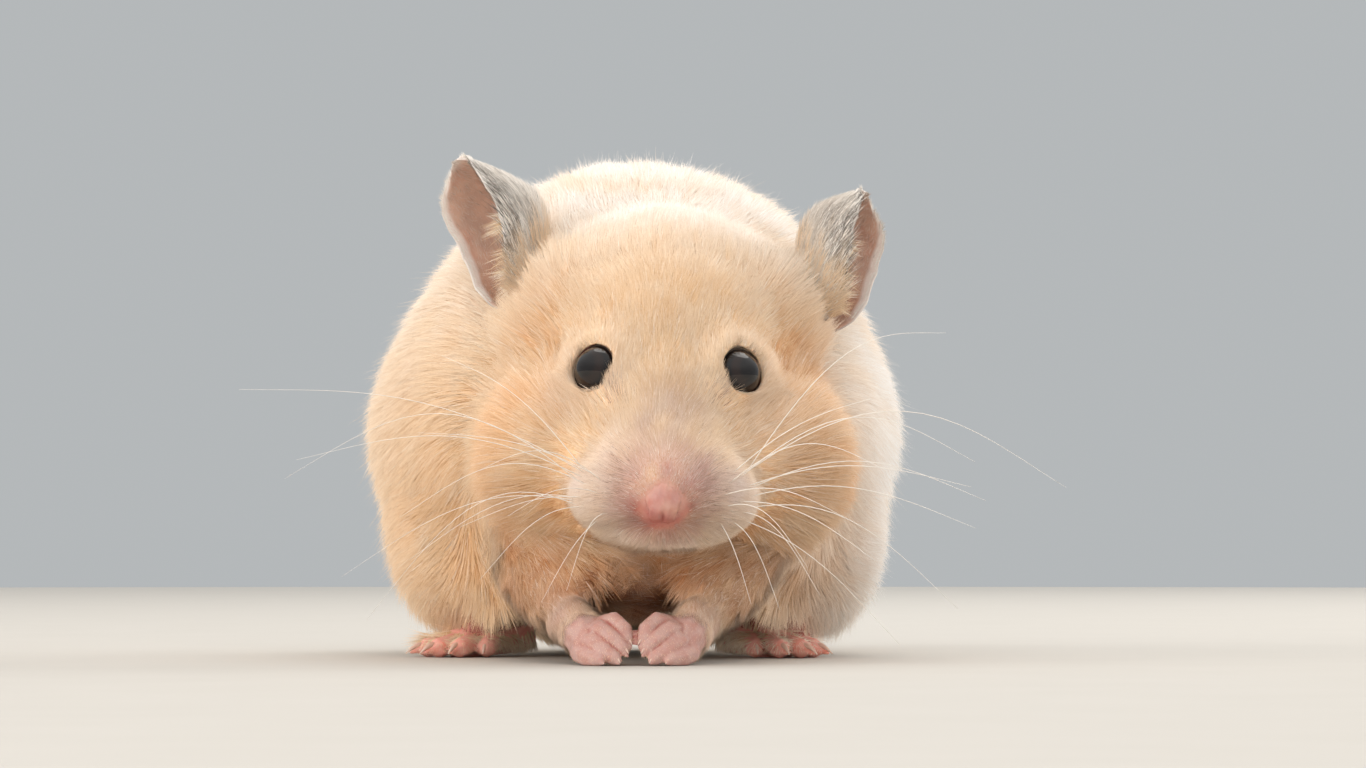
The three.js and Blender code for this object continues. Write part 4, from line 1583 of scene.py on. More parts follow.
@dataclass
class Tufts:
    """Many tufts, with one row each.

    Attributes:
        root: Where each leaves the skin.
        normal: The skin's normal there.
        way: The direction that it lies in.
        length: Its length.
        width: Its width at the root.
        lift: Degrees that it stands off the skin.
        tint: Its colour.
        clump: How far its tip is drawn to its neighbours'.
    """

    root: Array
    normal: Array
    way: Array
    length: Array
    width: Array
    lift: Array
    tint: Array
    clump: Array

    def picked(self, chosen: Array) -> Tufts:
        """Some of the tufts.

        Args:
            chosen: A mask or a list of indices.

        Returns:
            Those tufts.
        """
        columns = (self.root, self.normal, self.way, self.length)
        columns += (self.width, self.lift, self.tint, self.clump)
        return Tufts(*(column[chosen] for column in columns))

    @staticmethod
    def joined(groups: Sequence[Tufts]) -> Tufts:
        """All the tufts of several groups."""
        names = ("root", "normal", "way", "length", "width", "lift", "tint", "clump")
        return Tufts(*(np.concatenate([getattr(g, n) for g in groups]) for n in names))


@dataclass
class CoatBuilder:
    """Turns tufts into meshes: a closed blade for each, which tapers to its tip.

    Attributes:
        seed: What its draws start from.
        sunk: How deep the root sits in the skin.
        patch: How wide a tuft's own place on the colour map is.
    """

    seed: int = 7
    sunk: float = 0.25
    patch: float = 0.003
    skin_share: float = 0.8

    # Of so many tufts one leads its lock, by the tufts' length.
    LOCK_LENGTHS = (2.0, 6.5)
    LOCK_STEPS = (9, 30)
    SUNK_LENGTHS = (0.6, 2.0, 5.0)
    SUNK_SHARES = (0.2, 0.36, 1.0)
    SECTION = ((-0.5, 0.0), (0.5, 0.0), (0.0, 0.45))
    PATTERN = ((2, 1, 0), (0, 1, 3), (1, 2, 3), (2, 0, 3))
    LEVELS = (0.0, 0.0, 0.0, 1.0)
    ACROSS = (-1, 1, 0, 0)

    def lines(self, tufts: Tufts) -> tuple[Array, Array]:
        """Works out the root and tip of each tuft, with neighbours drawn together.

        Args:
            tufts: The tufts.

        Returns:
            Roots and tips.
        """
        lift = np.radians(tufts.lift)[:, None]
        sunk = self.sunk * np.interp(tufts.length, self.SUNK_LENGTHS, self.SUNK_SHARES)[:, None]
        root = tufts.root - tufts.normal * sunk
        rising = tufts.way * np.cos(lift) + tufts.normal * np.sin(lift)
        tip = root + rising * tufts.length[:, None]
        step = int(np.interp(tufts.length.mean(), self.LOCK_LENGTHS, self.LOCK_STEPS))
        guides = np.arange(0, len(root), step)
        tree = KDTree(len(guides))
        for place, guide in enumerate(guides):
            tree.insert(Vector(root[guide]), place)
        tree.balance()
        nearest = guides[[tree.find(Vector(point))[1] for point in root]]
        pull = tufts.clump[:, None]
        target = tip[nearest] + (root - root[nearest]) * 0.25
        same = dot(tufts.normal, tufts.normal[nearest]) > 0.7
        return root, np.where(same, tip + (target - tip) * pull, tip)

    def mesh(self, name: str, tufts: Tufts, centre: Array) -> bpy.types.Mesh:
        """Makes the mesh of some tufts.

        Args:
            name: Its name.
            tufts: The tufts.
            centre: The middle of the form that they grow from, for the colour map.

        Returns:
            The mesh, with its values, normals and colour map.
        """
        draw = np.random.default_rng(self.seed)
        count = len(tufts.root)
        root, tip = self.lines(tufts)
        for point in (root, tip):
            point[:, 2] = np.maximum(point[:, 2], 0.03)
        aside = unit(np.cross(tufts.normal, tip - root))
        out = unit(np.cross(tip - root, aside))
        wide = tufts.width[:, None]
        corners = [aside * wide * side + out * wide * top for side, top in self.SECTION]
        points = np.stack([*(root + corner for corner in corners), tip], 1)
        points[:, :, 2] = np.maximum(points[:, :, 2], 0.01)
        each = points.shape[1]
        faces = np.array(self.PATTERN)[None] + each * np.arange(count)[:, None, None]
        made = Surface(points.reshape(-1, 3), faces.reshape(-1, 3))
        mesh = made.mesh(name)
        start = (0.75 * rise(4.0, 1.2, tufts.length))[:, None]
        set_value(mesh, "along", (start + (1 - start) * self.LEVELS).ravel())
        set_value(mesh, "chance", np.repeat(draw.random(count), each))
        set_value(mesh, "tint", np.repeat(tufts.tint, each, 0))
        leaning = np.stack([-aside, aside, out, out], 1)
        blended = tufts.normal[:, None] * self.skin_share + leaning * (1 - self.skin_share)
        normals = mesh.attributes.new("custom_normal", "FLOAT_VECTOR", "POINT")
        normals.data.foreach_set("vector", unit(blended).astype(np.float32).ravel())
        self._unwrap(mesh, tufts.root - centre, made.faces)
        return mesh

    def _unwrap(self, mesh: bpy.types.Mesh, offsets: Array, faces: Array) -> None:
        """Gives each tuft a small patch at its root's place on an unwrap of the form.

        Args:
            mesh: The mesh.
            offsets: Each root from the middle of the form.
            faces: The mesh's triangles.
        """
        ways = unit(offsets)
        main = unit(ways.mean(0))
        side = unit(np.cross(main, [0.0, 0.3, 1.0]))
        top = np.cross(side, main)
        turn = np.arctan2(ways @ side, ways @ main)
        height = ways @ top
        flat = np.column_stack([turn, height])
        low, high = flat.min(0), flat.max(0)
        place = 0.01 + 0.98 * (flat - low) / np.maximum(high - low, 1e-6)
        corners = np.column_stack([self.ACROSS, 2 * np.array(self.LEVELS) - 1]) * self.patch / 2
        each = (place[:, None] + corners[None]).reshape(-1, 2)
        layer = mesh.uv_layers.new(name="OFBake")
        layer.uv.foreach_set("vector", each[faces.ravel()].astype(np.float32).ravel())


@dataclass
class Coat:
    """The whole coat, in pieces by place.

    Attributes:
        anatomy: The frames.
        skin: What it grows on.
        most: The most tufts in a piece.
        stray_share: The share of body tufts that stand out from the outline.
    """

    anatomy: Anatomy
    skin: Skin
    most: int = 48000
    stray_share: float = 0.04
    seed: int = 11

    def roots(self) -> tuple[Array, Array]:
        """Spreads roots over the skin as thickly as each place asks.

        Returns:
            Roots and the skin's normals there.
        """
        surface = self.skin.surface
        normals = surface.smoothed(3).normals()
        corners = surface.points[surface.faces]
        middle = corners.mean(1)
        first, second = corners[:, 1] - corners[:, 0], corners[:, 2] - corners[:, 0]
        area = np.linalg.norm(np.cross(first, second), axis=1) / 2
        wanted = area * self.anatomy.cuts(middle)[:, 4] * self.thinning(middle)
        draw = np.random.default_rng(self.seed)
        total = np.cumsum(wanted)
        ticks = np.arange(int(total[-1])) + draw.uniform(0, 1, int(total[-1]))
        chosen = np.minimum(np.searchsorted(total, ticks), len(total) - 1)
        first, second = draw.random((2, len(chosen)))
        over = first + second > 1
        first, second = np.where(over, 1 - first, first), np.where(over, 1 - second, second)
        weights = np.column_stack([1 - first - second, first, second])
        faces = surface.faces[chosen]
        points = (surface.points[faces] * weights[..., None]).sum(1)
        return points, unit((normals[faces] * weights[..., None]).sum(1))

    def thinning(self, points: Array) -> Array:
        """The share of the coat's thickness that stays at each point.

        Args:
            points: Points of the skin.

        Returns:
            One value a point, 0 where the skin is bare.
        """
        head = self.anatomy.to_head(points)
        on_nose = rise(1.15, 0.85, self.skin.nose_gap(head)) * rise(-45, -47, head[:, 1])
        rim = rise(0.75, 0.98, self.skin.lid(points))
        in_socket = self.anatomy.eye_gap(points) < EYE_RADIUS + 0.2
        keep = (1 - on_nose) * (1 - rim) * ~in_socket
        return keep * rise(0.1, 0.9, points[:, 2])

    def tufts(self) -> tuple[Tufts, Array]:
        """Makes all the tufts of the body.

        Returns:
            The tufts and the number of each one's zone.
        """
        points, normals = self.roots()
        draw = np.random.default_rng(self.seed + 1)
        count = len(points)
        shares = self.anatomy.shares(points, ZONES)
        cuts = shares @ np.array([zone.cut.row() for zone in ZONES])
        length, width, lift, _, _, clump, mess = cuts.T
        way = self.anatomy.lie(points, normals)
        side = np.cross(normals, way)
        drift = Ripple(9, 21)(points) * 0.9 + Ripple(2.6, 22)(points) * 0.8
        drift = drift + draw.normal(0, 0.8, count)
        way = across(way + side * (drift * mess)[:, None], normals)
        stray = (draw.random(count) < self.stray_share) & (length > 4.5)
        lift = lift * draw.uniform(0.55, 1.45, count) + np.where(stray, 12, 0)
        length = length * draw.uniform(0.7, 1.2, count)
        width = width * draw.uniform(0.75, 1.25, count) * np.where(stray, 0.45, 1)
        clump = np.where(stray, 0, clump * draw.uniform(0.4, 1.6, count))
        length = length * self.above_floor(points, way * length[:, None])
        tint = self.tint(points, draw)
        made = Tufts(points, normals, way, length, width, lift, tint, np.clip(clump, 0, 0.9))
        clear = self.clear_of_eyes(made)
        return made.picked(clear), shares.argmax(1)[clear]

    @staticmethod
    def above_floor(points: Array, reach: Array) -> Array:
        """The share of each tuft that leaves it above the floor."""
        drop = np.maximum(-reach[:, 2], 1e-6)
        return np.clip((points[:, 2] - 0.3) / drop, 0.1, 1)

    def tint(self, points: Array, draw: np.random.Generator) -> Array:
        """The colour of each tuft: the marking's, with brown ticking beside the nose.

        Args:
            points: The roots.
            draw: Where the random numbers come from.

        Returns:
            Linear colours.
        """
        colour = self.anatomy.tint(points)
        head = self.anatomy.to_head(points)
        ticked = np.exp(-Place((4.6, -48.8, 21.5), (1.9, 4, 3.4)).far(self.anatomy, points)) * 0.26
        ticked += np.exp(-Place((6.0, -39.5, 31.6), (1.6, 3, 1.8)).far(self.anatomy, points)) * 0.3
        brown = (draw.random(len(points)) < ticked) & (np.abs(head[:, 0]) > 1.5)
        pale = draw.random(len(points)) < 0.06
        colour = np.where(brown[:, None], linear("#ad8270"), colour)
        return np.where((pale & ~brown)[:, None], colour * 0.5 + linear("#fff8ef") * 0.5, colour)

    def clear_of_eyes(self, tufts: Tufts) -> Array:
        """Tells which tufts don't lie over an eye.

        Args:
            tufts: The tufts.

        Returns:
            True for each tuft that may stay.
        """
        tip = tufts.root + tufts.way * tufts.length[:, None]
        clear = np.ones(len(tip), bool)
        for share in (0.5, 1.0):
            head = self.anatomy.to_head(tufts.root + (tip - tufts.root) * share)
            head[:, 0] = np.abs(head[:, 0])
            offset = head - [EYE_OFFSET, *EYES_MIDDLE_IN_HEAD[1:]]
            level = unit(offset) @ EYE_FACES
            near = np.linalg.norm(offset, axis=1) < EYE_RADIUS + 0.6
            clear &= ~(near & (level > 0.6))
        return clear

    def build(self) -> None:
        """Builds every piece of the body's coat."""
        tufts, zones = self.tufts()
        finish = CoatFinish("coat").material()
        builder = CoatBuilder()
        middle = self.anatomy.from_body([-1.5, 12, 30])
        skull = self.anatomy.from_head([0, -27, 30])
        for number, zone in enumerate(ZONES):
            local = self.anatomy.to_body(tufts.root)[:, 0] - self.anatomy.BODY_AXIS
            if zone.place.space is Space.HEAD:
                local = self.anatomy.to_head(tufts.root)[:, 0]
            for side in Side:
                chosen = np.flatnonzero((zones == number) & (local * side.value > 0))
                parts = max(1, math.ceil(len(chosen) / self.most))
                order = chosen[np.argsort(tufts.root[chosen, 1], kind="stable")]
                for place, some in enumerate(np.array_split(order, parts)):
                    if len(some) < 12:
                        continue
                    name = f"coat_{zone.name}_{side.word}" + (f"_{place + 1}" if parts > 1 else "")
                    group = tufts.picked(np.sort(some))
                    centre = skull if zone.place.space is Space.HEAD else middle
                    mesh = builder.mesh(name, group, centre)
                    place_piece(name, mesh, finish, shades=False)


@dataclass
class EarCoat:
    """The hair of one ear.

    It is short and grey behind, white along the rim, and long, streaky and cream on the front edge,
    from which some of it crosses the mouth of the cup.
    """

    anatomy: Anatomy
    ear: Ear
    seed: int = 41
    back_hairs: int = 6500
    bowl_hairs: int = 2600
    rim_hairs: int = 2400
    front_hairs: int = 3800
    crossing_hairs: int = 300

    @property
    def inner_edge(self) -> int:
        """Which end across the cup is the one near the middle of the head."""
        return -self.ear.side.value

    def build(self) -> None:
        """Builds the ear's hair."""
        draw = np.random.default_rng(self.seed + self.ear.side.value)
        makers = (self._back, self._bowl, self._rim, self._front, self._crossing)
        tufts = Tufts.joined([maker(draw) for maker in makers])
        name = f"coat_ear_{self.ear.side.word}"
        middle = self._spot(np.array([0.5]), np.array([0.0]), 0.0)[0]
        finish = CoatFinish(name, sheen=0.05, root_tone="#e2d6ca", tip_share=0.1, unevenness=0.5)
        builder = CoatBuilder(sunk=0.12, skin_share=0.55)
        mesh = builder.mesh(name, tufts, middle)
        place_piece(name, mesh, finish.material(), shades=False)

    def _spot(self, along: Array, share: Array, shift: float) -> Array:
        """Points of the cup, in the model."""
        return self.anatomy.from_head(self.ear.at(along, share, shift))

    def _on_cup(self, along: Array, share: Array, shift: float) -> tuple[Array, Array, Array]:
        """Roots, normals and tipward directions on one face of the cup.

        Args:
            along: Places from root to tip.
            share: Places across.
            shift: 1 for the back and -1 for the bowl.

        Returns:
            Points of the model with their normals and directions.
        """
        step = 0.01
        here = self._spot(along, share, shift)
        ahead = self._spot(np.minimum(along + step, 1), share, shift)
        before = self._spot(np.maximum(along - step, 0), share, shift)
        beside = self._spot(along, share + step, shift)
        other = self._spot(along, share - step, shift)
        way = unit(ahead - before)
        normal = unit(np.cross(way, beside - other))
        deeper = self._spot(along, share, shift * 1.5)
        normal = np.where(dot(normal, deeper - here) < 0, -normal, normal)
        return here, normal, across(way, normal)

    def _made(
        self, draw: np.random.Generator, place: tuple[Array, Array, Array], cut: Cut, tint: Array
    ) -> Tufts:
        """Tufts of one kind of cut.

        Args:
            draw: Where the random numbers come from.
            place: Roots, normals and directions.
            cut: Their sizes.
            tint: Their colours.

        Returns:
            The tufts.
        """
        root, normal, way = place
        count = len(root)
        side = np.cross(normal, way)
        way = across(way + side * draw.normal(0, cut.mess, (count, 1)), normal)
        scale = draw.uniform(0.7, 1.25, (3, count))
        clump = np.full(count, cut.clump)
        length, width, lift = cut.length * scale[0], cut.width * scale[1], cut.lift * scale[2]
        return Tufts(root, normal, way, length, width, lift, tint, clump)

    def _back(self, draw: np.random.Generator) -> Tufts:
        """Grey hair on the back of the ear, shorter and white towards the rim.

        Args:
            draw: Where the random numbers come from.

        Returns:
            The tufts.
        """
        along = draw.uniform(0.05, 0.97, self.back_hairs)
        share = draw.uniform(-0.97, 0.97, self.back_hairs)
        place = self._on_cup(along, share, 1.0)
        streak = rise(0.1, 0.9, Ripple(1.4, 5)(place[0] * [1, 1, 0.4]))[:, None]
        tint = linear("#cbc4bc") + (linear("#8f8781") - linear("#cbc4bc")) * streak
        edge = np.maximum(rise(0.6, 0.9, np.abs(share)), rise(0.7, 0.95, along))
        tint += (linear("#f6f1ea") - tint) * edge[:, None] * 0.9
        made = self._made(draw, place, Cut(2.0, 0.1, 8, 0, 0, 0.3, 0.2), tint)
        made.length *= 1 - 0.7 * edge
        return made

    def _bowl(self, draw: np.random.Generator) -> Tufts:
        """Fine, sparse hair in the bowl.

        Args:
            draw: Where the random numbers come from.

        Returns:
            The tufts.
        """
        along = draw.uniform(0.04, 0.98, self.bowl_hairs)
        share = draw.uniform(-0.97, 0.97, self.bowl_hairs)
        place = self._on_cup(along, share, -1.0)
        pale = draw.random((len(along), 1)) < 0.35 + 0.6 * rise(0.12, 0.35, along)[:, None]
        tint = np.where(pale, linear("#d6bcad"), linear("#86695c"))
        return self._made(draw, place, Cut(1.0, 0.045, 10, 0, 0, 0.1, 0.3), tint)

    def _rim(self, draw: np.random.Generator) -> Tufts:
        """White hair that stands along the rim.

        Args:
            draw: Where the random numbers come from.

        Returns:
            The tufts.
        """
        along = draw.uniform(0.12, 1.0, self.rim_hairs)
        share = np.sign(draw.uniform(-1, 1, self.rim_hairs))
        over_tip = draw.random(self.rim_hairs) < 0.12
        along = np.where(over_tip, 0.99, along)
        anywhere = draw.uniform(-1, 1, self.rim_hairs)
        at_edge = share * draw.uniform(0.95, 1.0, self.rim_hairs)
        share = np.where(over_tip, anywhere, at_edge)
        root, normal, way = self._on_cup(along, share, -1.0)
        inner = self._spot(along, share * 0.85, -1.0)
        outwards = across(root - inner, normal)
        lean = np.where(over_tip[:, None], way, outwards * 0.6 + way * 0.8)
        place = (root, normal, across(lean, normal))
        tint = np.tile(linear("#fbf7f1"), (len(along), 1))
        made = self._made(draw, place, Cut(0.75, 0.06, 4, 0, 0, 0.1, 0.35), tint)
        made.length *= np.where(over_tip, 0.5, 1)
        return made

    def _front(self, draw: np.random.Generator) -> Tufts:
        """Long streaky hair on the front edge, cream at its foot and grey with white above.

        Args:
            draw: Where the random numbers come from.

        Returns:
            The tufts.
        """
        along = draw.uniform(0.0, 0.86, self.front_hairs) ** 1.1
        share = self.inner_edge * draw.uniform(0.15, 1.0, self.front_hairs)
        root, normal, way = self._on_cup(along, share, 1.0)
        at_edge = np.full_like(share, self.inner_edge)
        at_middle = np.full_like(share, 0.3 * self.inner_edge)
        edge = self._spot(along, at_edge, 1.0)
        middle = self._spot(along, at_middle, 1.0)
        forwards = across(edge - middle, normal)
        place = (root, normal, across(way + forwards * 0.55, normal))
        streak = Ripple(0.8, 8)(root * [1, 1, 0.25])[:, None]
        nearness = rise(0.35, 0.95, np.abs(share))[:, None]
        # Painted shade: the left ear's front hair is painted greyer and darker than the right's, which is
        # paler.
        paleness, pale = (0.35, "#ece7e0") if self.ear.side is Side.RIGHT else (0.0, "#c2b8ad")
        dark = rise(0.9, -0.5, streak - 1.1 * nearness + paleness)
        grey = linear(pale) + (linear("#5f5955") - linear(pale)) * dark * nearness
        grey = np.where(draw.random((len(along), 1)) < 0.28, linear("#fbf7f1"), grey)
        foot = rise(0.42, 0.1, along + 0.1 * streak[:, 0] + 0.25 * (np.abs(share) - 0.6))[:, None]
        tint = grey + (linear("#f1d3b0") - grey) * foot
        made = self._made(draw, place, Cut(3.0, 0.085, 9, 0, 0, 0.45, 0.2), tint)
        made.length *= 1.3 - 0.85 * along
        return made

    def _crossing(self, draw: np.random.Generator) -> Tufts:
        """Cream hair that crosses the lower part of the cup's mouth from its front edge.

        Args:
            draw: Where the random numbers come from.

        Returns:
            The tufts.
        """
        places, chances = [0.1, 0.17, 0.26, 0.42, 0.46], [0.2, 0.2, 0.15, 0.3, 0.15]
        groups = draw.choice(places, self.crossing_hairs, p=chances)
        along = np.clip(groups + draw.normal(0, 0.014, self.crossing_hairs), 0.05, 0.6)
        share = np.full(len(along), float(self.inner_edge)) * draw.uniform(0.86, 1.0, len(along))
        root, _, way = self._on_cup(along, share, 1.0)
        far_edge = self._spot(along, -share, 0.0)
        mouth = np.tile(self.ear.opening, (len(along), 1)) @ self.anatomy.turn().T
        place = (root, mouth, across(unit(far_edge - root) + way * 0.25, mouth))
        pale = draw.random((len(along), 1)) < 0.5
        tint = np.where(pale, linear("#fdf1e0"), linear("#efcfa6"))
        return self._made(draw, place, Cut(5.6, 0.08, 4, 0, 0, 0.75, 0.14), tint)


@dataclass
class Whiskers:
    """The whiskers of one side. Each is given by its root on the pad and by its tip."""

    anatomy: Anatomy
    side: Side
    root_radius: float = 0.072
    tip_radius: float = 0.018
    arch: float = 0.2
    steps: int = 18
    sides: int = 5
    thinning: float = 0.8  # of the right whiskers, against the left ones
    lowest: float = 0.4

    # How far back and down on the pad the root is, each from 0 to 1, and the tip's x, y and z.
    HAIRS = {
        Side.LEFT: (
            (0.7, 0.1, 47.6, -40, 22.3),
            (0.9, 0.4, 38.3, -37, 20.5),
            (0.8, 0.55, 37.1, -38, 17.2),
            (0.6, 0.2, 36.7, -41, 25.0),
            (0.7, 0.35, 36.3, -42, 22.0),
            (0.9, 0.75, 35.5, -34, 7.5),
            (1.0, 0.0, 33.1, -36, 40.4),
            (0.8, 0.9, 28.7, -33, 3.0),
            (0.6, 0.8, 18.7, -45, 8.7),
            (0.5, 0.95, 14.0, -46, 6.9),
            (0.3, 1.0, 10.6, -47, 7.5),
            (0.3, 0.3, 26.0, -50, 23.5),
            (0.1, 0.5, 21.0, -53, 18.0),
            (0.4, 0.6, 25.0, -47, 13.0),
            (0.2, 0.75, 17.0, -51, 12.0),
            (0.5, 0.0, 24.0, -46, 32.0),
        ),
        Side.RIGHT: (
            (0.8, 0.1, 50.8, -39, 31.2),
            (0.9, 0.4, 45.2, -37, 20.8),
            (0.7, 0.25, 43.6, -41, 23.0),
            (0.9, 0.7, 38.2, -35, 9.3),
            (0.8, 0.9, 35.2, -33, 4.2),
            (0.5, 0.6, 23.7, -47, 15.6),
            (0.6, 0.8, 21.3, -45, 9.5),
            (0.5, 0.45, 31.0, -44, 16.5),
            (0.4, 0.15, 29.0, -47, 26.5),
            (0.2, 0.3, 22.0, -51, 22.0),
            (0.2, 0.55, 18.0, -52, 17.0),
            (0.4, 0.95, 14.0, -46, 7.0),
            (0.2, 0.9, 11.0, -48, 8.5),
            (1.0, 0.0, 27.0, -37, 36.0),
            (0.7, 0.65, 30.0, -40, 11.5),
        ),
    }
    FIRST_ROOT = np.array([6.2, -48.4, 22.6])
    ROOTS_BACK = np.array([3.2, 3.6, 0.0])
    ROOTS_DOWN = np.array([-0.6, 0.6, -5.4])

    def line(self, number: int) -> Array:
        """The middle line of one whisker, which rises from its pad and then bends down.

        Args:
            number: Its place in the list.

        Returns:
            Points in the head's frame, without its side.
        """
        back, down, *tip = self.HAIRS[self.side][number]
        root = self.FIRST_ROOT + self.ROOTS_BACK * back + self.ROOTS_DOWN * down
        chord = np.array(tip) - root
        reach = float(np.linalg.norm(chord))
        share = np.linspace(0, 1, self.steps)[:, None]
        uneven = 1 + 0.5 * math.sin(number * 2.3 + self.side.value)
        hump = np.sin(share * math.pi) * (1 - 0.35 * share) * self.arch * uneven * reach
        return root + chord * share + hump * np.array([0.1, -0.4, 0.9])

    def build(self) -> bpy.types.Object:
        """Builds the whiskers of this side.

        Returns:
            The piece.
        """
        tubes, shares = [], []
        for number in range(len(self.HAIRS[self.side])):
            line = self.anatomy.from_head(self.line(number) * [self.side.value, 1, 1])
            line[:, 2] = np.maximum(line[:, 2], self.lowest)
            share = np.linspace(0, 1, len(line))
            radii = self.root_radius + (self.tip_radius - self.root_radius) * share
            radii *= self.thinning if self.side is Side.RIGHT else 1.0
            tubes.append(tube(line, radii, self.sides))
            shares.append(np.append(np.repeat(share, self.sides), [0, 1]))
        mesh = Surface.joined(tubes).mesh(f"whiskers_{self.side.word}")
        set_value(mesh, "along", np.concatenate(shares))
        finish = HairFinish("whisker", "#f6eee4", "#fffefb")
        name, pad = f"whiskers_{self.side.word}", f"whisker_pad_{self.side.word}"
        return place_piece(name, mesh, finish.material(), [pad])


@dataclass
class Claws:
    """Small pale claws on the fingers and toes of one side."""

    anatomy: Anatomy
    side: Side

    FINGER_TIPS = ((0.95, -43.9, 2.9), (1.35, -44.9, 1.9), (2.3, -45.8, 0.8), (4.2, -45.9, 0.65))
    SOLE_LENGTH = 9.5
    TOE_LENGTHS = (3.2, 5.2, 5.8, 5.4, 3.8)
    TOE_STOPS = ((1.05, 1.6), (1.3, 1.35), (1.55, 0.5))  # shares of the toe's length, and heights
    FINGER_RADII = (0.26, 0.05)
    TOE_RADII = (0.48, 0.06)
    STEPS = 9
    SIDES = 8
    LOWEST = 0.25
    HIND = {Side.LEFT: ((11.5, 4.5), 34, 13), Side.RIGHT: ((-16.4, 7.0), 40, 15)}

    def _finger_claw(self, number: int) -> Surface:
        """The claw of one finger, from the uppermost to the lowest.

        Args:
            number: The finger's place.

        Returns:
            Its surface.
        """
        x, y, z = self.FINGER_TIPS[number]
        stops = [(x + 0.1, y, z + 0.2), (x - 0.3, y - 0.5, z + 0.05), (x - 0.6, y - 0.85, z - 0.45)]
        middle, way = PAW_CENTRE_X, self.side.value
        line = [(middle + way * a, b, max(c, self.LOWEST)) for a, b, c in stops]
        return self._claw(line, *self.FINGER_RADII)

    def _toe_claw(self, number: int) -> Surface:
        """The claw of one toe, from the inner one to the outer one.

        Args:
            number: The toe's place.

        Returns:
            Its surface.
        """
        heel, heading, spread = self.HIND[self.side]
        aim, aside = math.radians(heading), number - 2
        fan = math.radians(aside * spread)
        start = self.SOLE_LENGTH - 0.4 - 0.35 * aside**2
        length = self.TOE_LENGTHS[number]

        def place(share: float, z: float) -> tuple[float, float, float]:
            """A point along the toe, in the body's frame.

            Args:
                share: How far along the toe, as a share of its length.
                z: Its height.

            Returns:
                The point.
            """
            ahead = start + math.cos(fan) * length * share
            beside = aside * 1.35 + math.sin(fan) * length * share
            x = math.sin(aim) * ahead + math.cos(aim) * beside
            y = -math.cos(aim) * ahead + math.sin(aim) * beside
            return heel[0] + self.side.value * x, heel[1] + y, z

        return self._claw([place(*stop) for stop in self.TOE_STOPS], *self.TOE_RADII)

    def _claw(self, stops: list, root: float, tip: float) -> Surface:
        """A claw along a line."""
        line = self.anatomy.from_body(smooth_line(stops, self.STEPS))
        return tube(line, np.linspace(root, tip, self.STEPS), self.SIDES)

    def build(self) -> bpy.types.Object:
        """Builds the claws of this side.

        Returns:
            The piece.
        """
        claws = [self._finger_claw(i) for i in range(len(self.FINGER_TIPS))]
        claws += [self._toe_claw(i) for i in range(len(self.TOE_LENGTHS))]
        mesh = Surface.joined(claws).mesh(f"claws_{self.side.word}")
        share = np.append(np.repeat(np.linspace(0, 1, self.STEPS), self.SIDES), [0, 1])
        set_value(mesh, "along", np.tile(share, len(claws)))
        finish = HairFinish("claw", "#dca898", "#ecd6c8", 0.3)
        return place_piece(f"claws_{self.side.word}", mesh, finish.material())


# ------------------------------------------------------------------------------------------------
# Camera, light and floor
# ------------------------------------------------------------------------------------------------


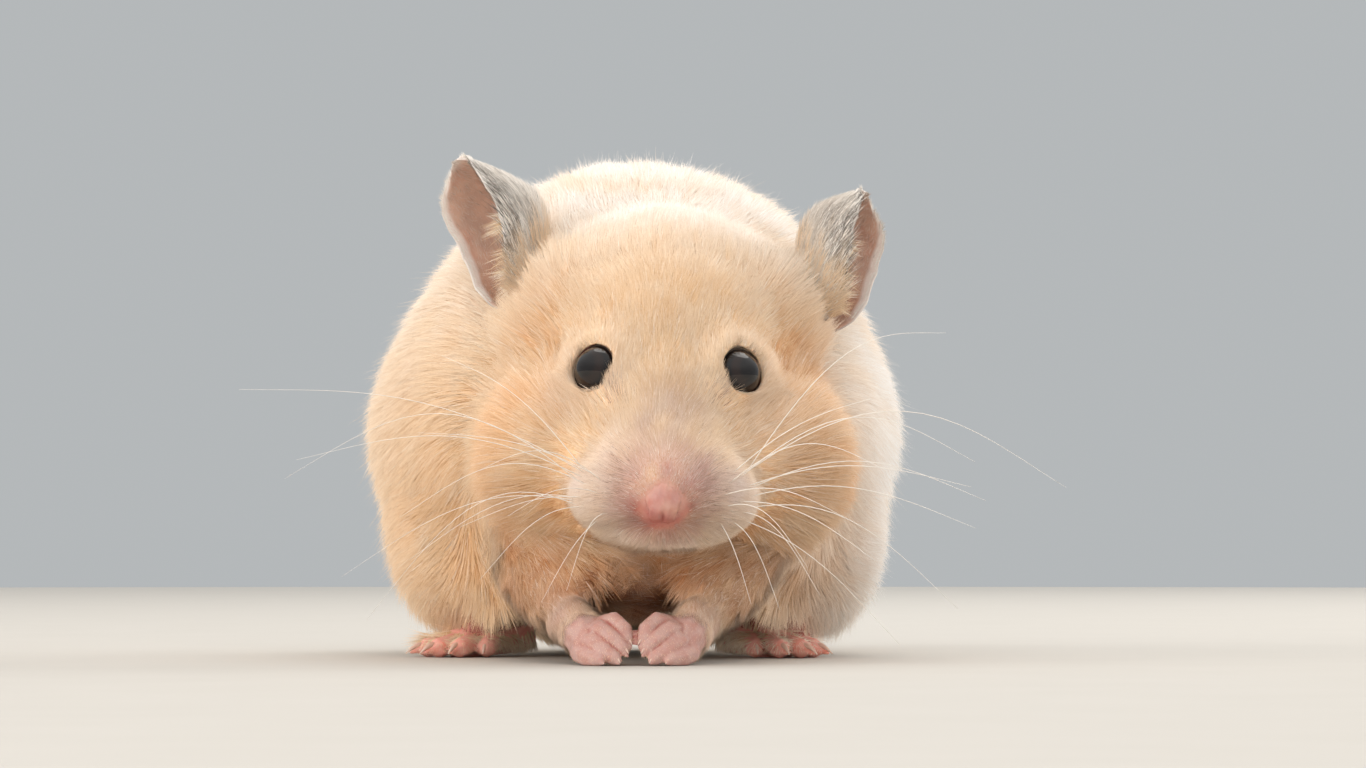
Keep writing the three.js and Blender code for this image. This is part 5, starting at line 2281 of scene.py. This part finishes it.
@dataclass
class Studio:
    """A plain pale floor under soft light, seen from the front at the animal's own height."""

    anatomy: Anatomy
    lens_mm: float = 131.2
    camera_from_eyes: tuple[float, float, float] = (1.86, -592.9, -19.6)
    pitch_deg: float = 1.77
    floor_radius: float = 900.0
    floor_sides: int = 96
    floor_height: float = -0.02
    horizon: tuple[float, float, float] = (0.46, 0.48, 0.49)
    zenith: tuple[float, float, float] = (0.86, 0.87, 0.87)
    sky_heights: tuple[float, float] = (0.15, 0.8)

    def build(self) -> None:
        """Adds the camera, lights, world and floor."""
        self._camera()
        self._floor()
        self._world()
        self._light("key", (0.12, 0.3, 0.68), (0, 0.01, 0.03), 0.6, 2.0, "#fffaf4", True)
        self._light("front", (-0.12, -0.74, 0.64), (0, -0.02, 0.03), 1.4, 3.9, "#fffaf4")
        self._light("fill", (0.0, -0.75, 0.06), (0, -0.02, 0.02), 0.9, 2.2, "#fffaf4")
        self._light("left", (-0.85, -0.3, 0.32), (0, -0.02, 0.03), 0.8, 4.5, "#fffaf4")
        self._light("right", (0.72, 0.45, 0.28), (0, 0.0, 0.03), 0.8, 4.6, "#fffdfa")

    def _camera(self) -> None:
        """Adds the camera."""
        data = bpy.data.cameras.new("camera")
        data.lens = self.lens_mm
        data.sensor_width = 36.0
        camera = bpy.data.objects.new("camera", data)
        bpy.context.scene.collection.objects.link(camera)
        camera.location = Vector((self.anatomy.middle + self.camera_from_eyes) * MM)
        camera.rotation_euler = Euler((math.radians(90 + self.pitch_deg), 0, 0))
        bpy.context.scene.camera = camera

    def _floor(self) -> None:
        """Adds the floor."""
        turn = np.linspace(0, 2 * math.pi, self.floor_sides + 1)[:-1]
        radii = np.array([self.floor_radius * 0.02, self.floor_radius * 0.5, self.floor_radius])
        level = turn * 0 + self.floor_height
        rows = [np.column_stack([r * np.cos(turn), r * np.sin(turn), level]) for r in radii]
        made = grid(np.array(rows), caps=False)
        middle = len(made.points)
        inner = np.arange(len(turn))
        fan = np.column_stack([np.roll(inner, -1), inner, np.full(len(turn), middle)])
        points = np.vstack([made.points, [[0, 0, self.floor_height]]])
        made = Surface(points, np.vstack([made.faces, fan]))
        obj = bpy.data.objects.new("floor", made.mesh("floor"))
        bpy.context.scene.collection.objects.link(obj)
        obj.data.materials.append(FloorFinish().material())

    def _world(self) -> None:
        """Lights the scene from a pale sky that is darker towards the horizon."""
        world = bpy.data.worlds.new("studio")
        shader = Shader("studio", world)
        way = shader.out(shader.node("ShaderNodeTexCoord"), "Generated")
        height = shader.out(shader.node("ShaderNodeSeparateXYZ", None, {0: way}), "Z")
        share = shader.step(height, *self.sky_heights)
        sky = shader.mix(share, np.array(self.horizon), np.array(self.zenith))
        light = shader.node("ShaderNodeBackground", None, {"Color": sky, "Strength": 1.0})
        shader.node("ShaderNodeOutputWorld", None, {"Surface": shader.out(light)})
        bpy.context.scene.world = world

    def _light(
        self,
        name: str,
        place: tuple[float, float, float],
        target: tuple[float, float, float],
        size: float,
        power: float,
        colour: str,
        mirrored: bool = False,
    ) -> None:
        """Adds a round soft light.

        Args:
            name: Its name.
            place: Where it hangs, in metres.
            target: What it points at, in metres.
            size: Its width, in metres.
            power: Its power in watts.
            colour: Its colour.
            mirrored: Whether shiny surfaces show it.
        """
        data = bpy.data.lights.new(name, "AREA")
        data.shape = "DISK"
        data.size = size
        data.energy = power
        data.color = tuple(linear(colour))
        obj = bpy.data.objects.new(name, data)
        obj.visible_glossy = mirrored
        bpy.context.scene.collection.objects.link(obj)
        obj.location = place
        obj.rotation_euler = (Vector(target) - Vector(place)).to_track_quat("-Z", "Y").to_euler()


def main() -> None:
    """Builds the hamster piece by piece."""
    logging.basicConfig(level=logging.INFO, format="%(message)s")
    bpy.context.scene.view_settings.view_transform = "Standard"
    anatomy = Anatomy.measured()
    Studio(anatomy).build()
    skin = Skin(anatomy)
    skin.build()
    for side in Side:
        Eye(anatomy, side).build()
        ear = Ear(anatomy, side)
        ear.build()
        EarCoat(anatomy, ear).build()
        Whiskers(anatomy, side).build()
        Claws(anatomy, side).build()
    Coat(anatomy, skin).build()
    bpy.context.view_layer.update()


if __name__ == "__main__":
    main()
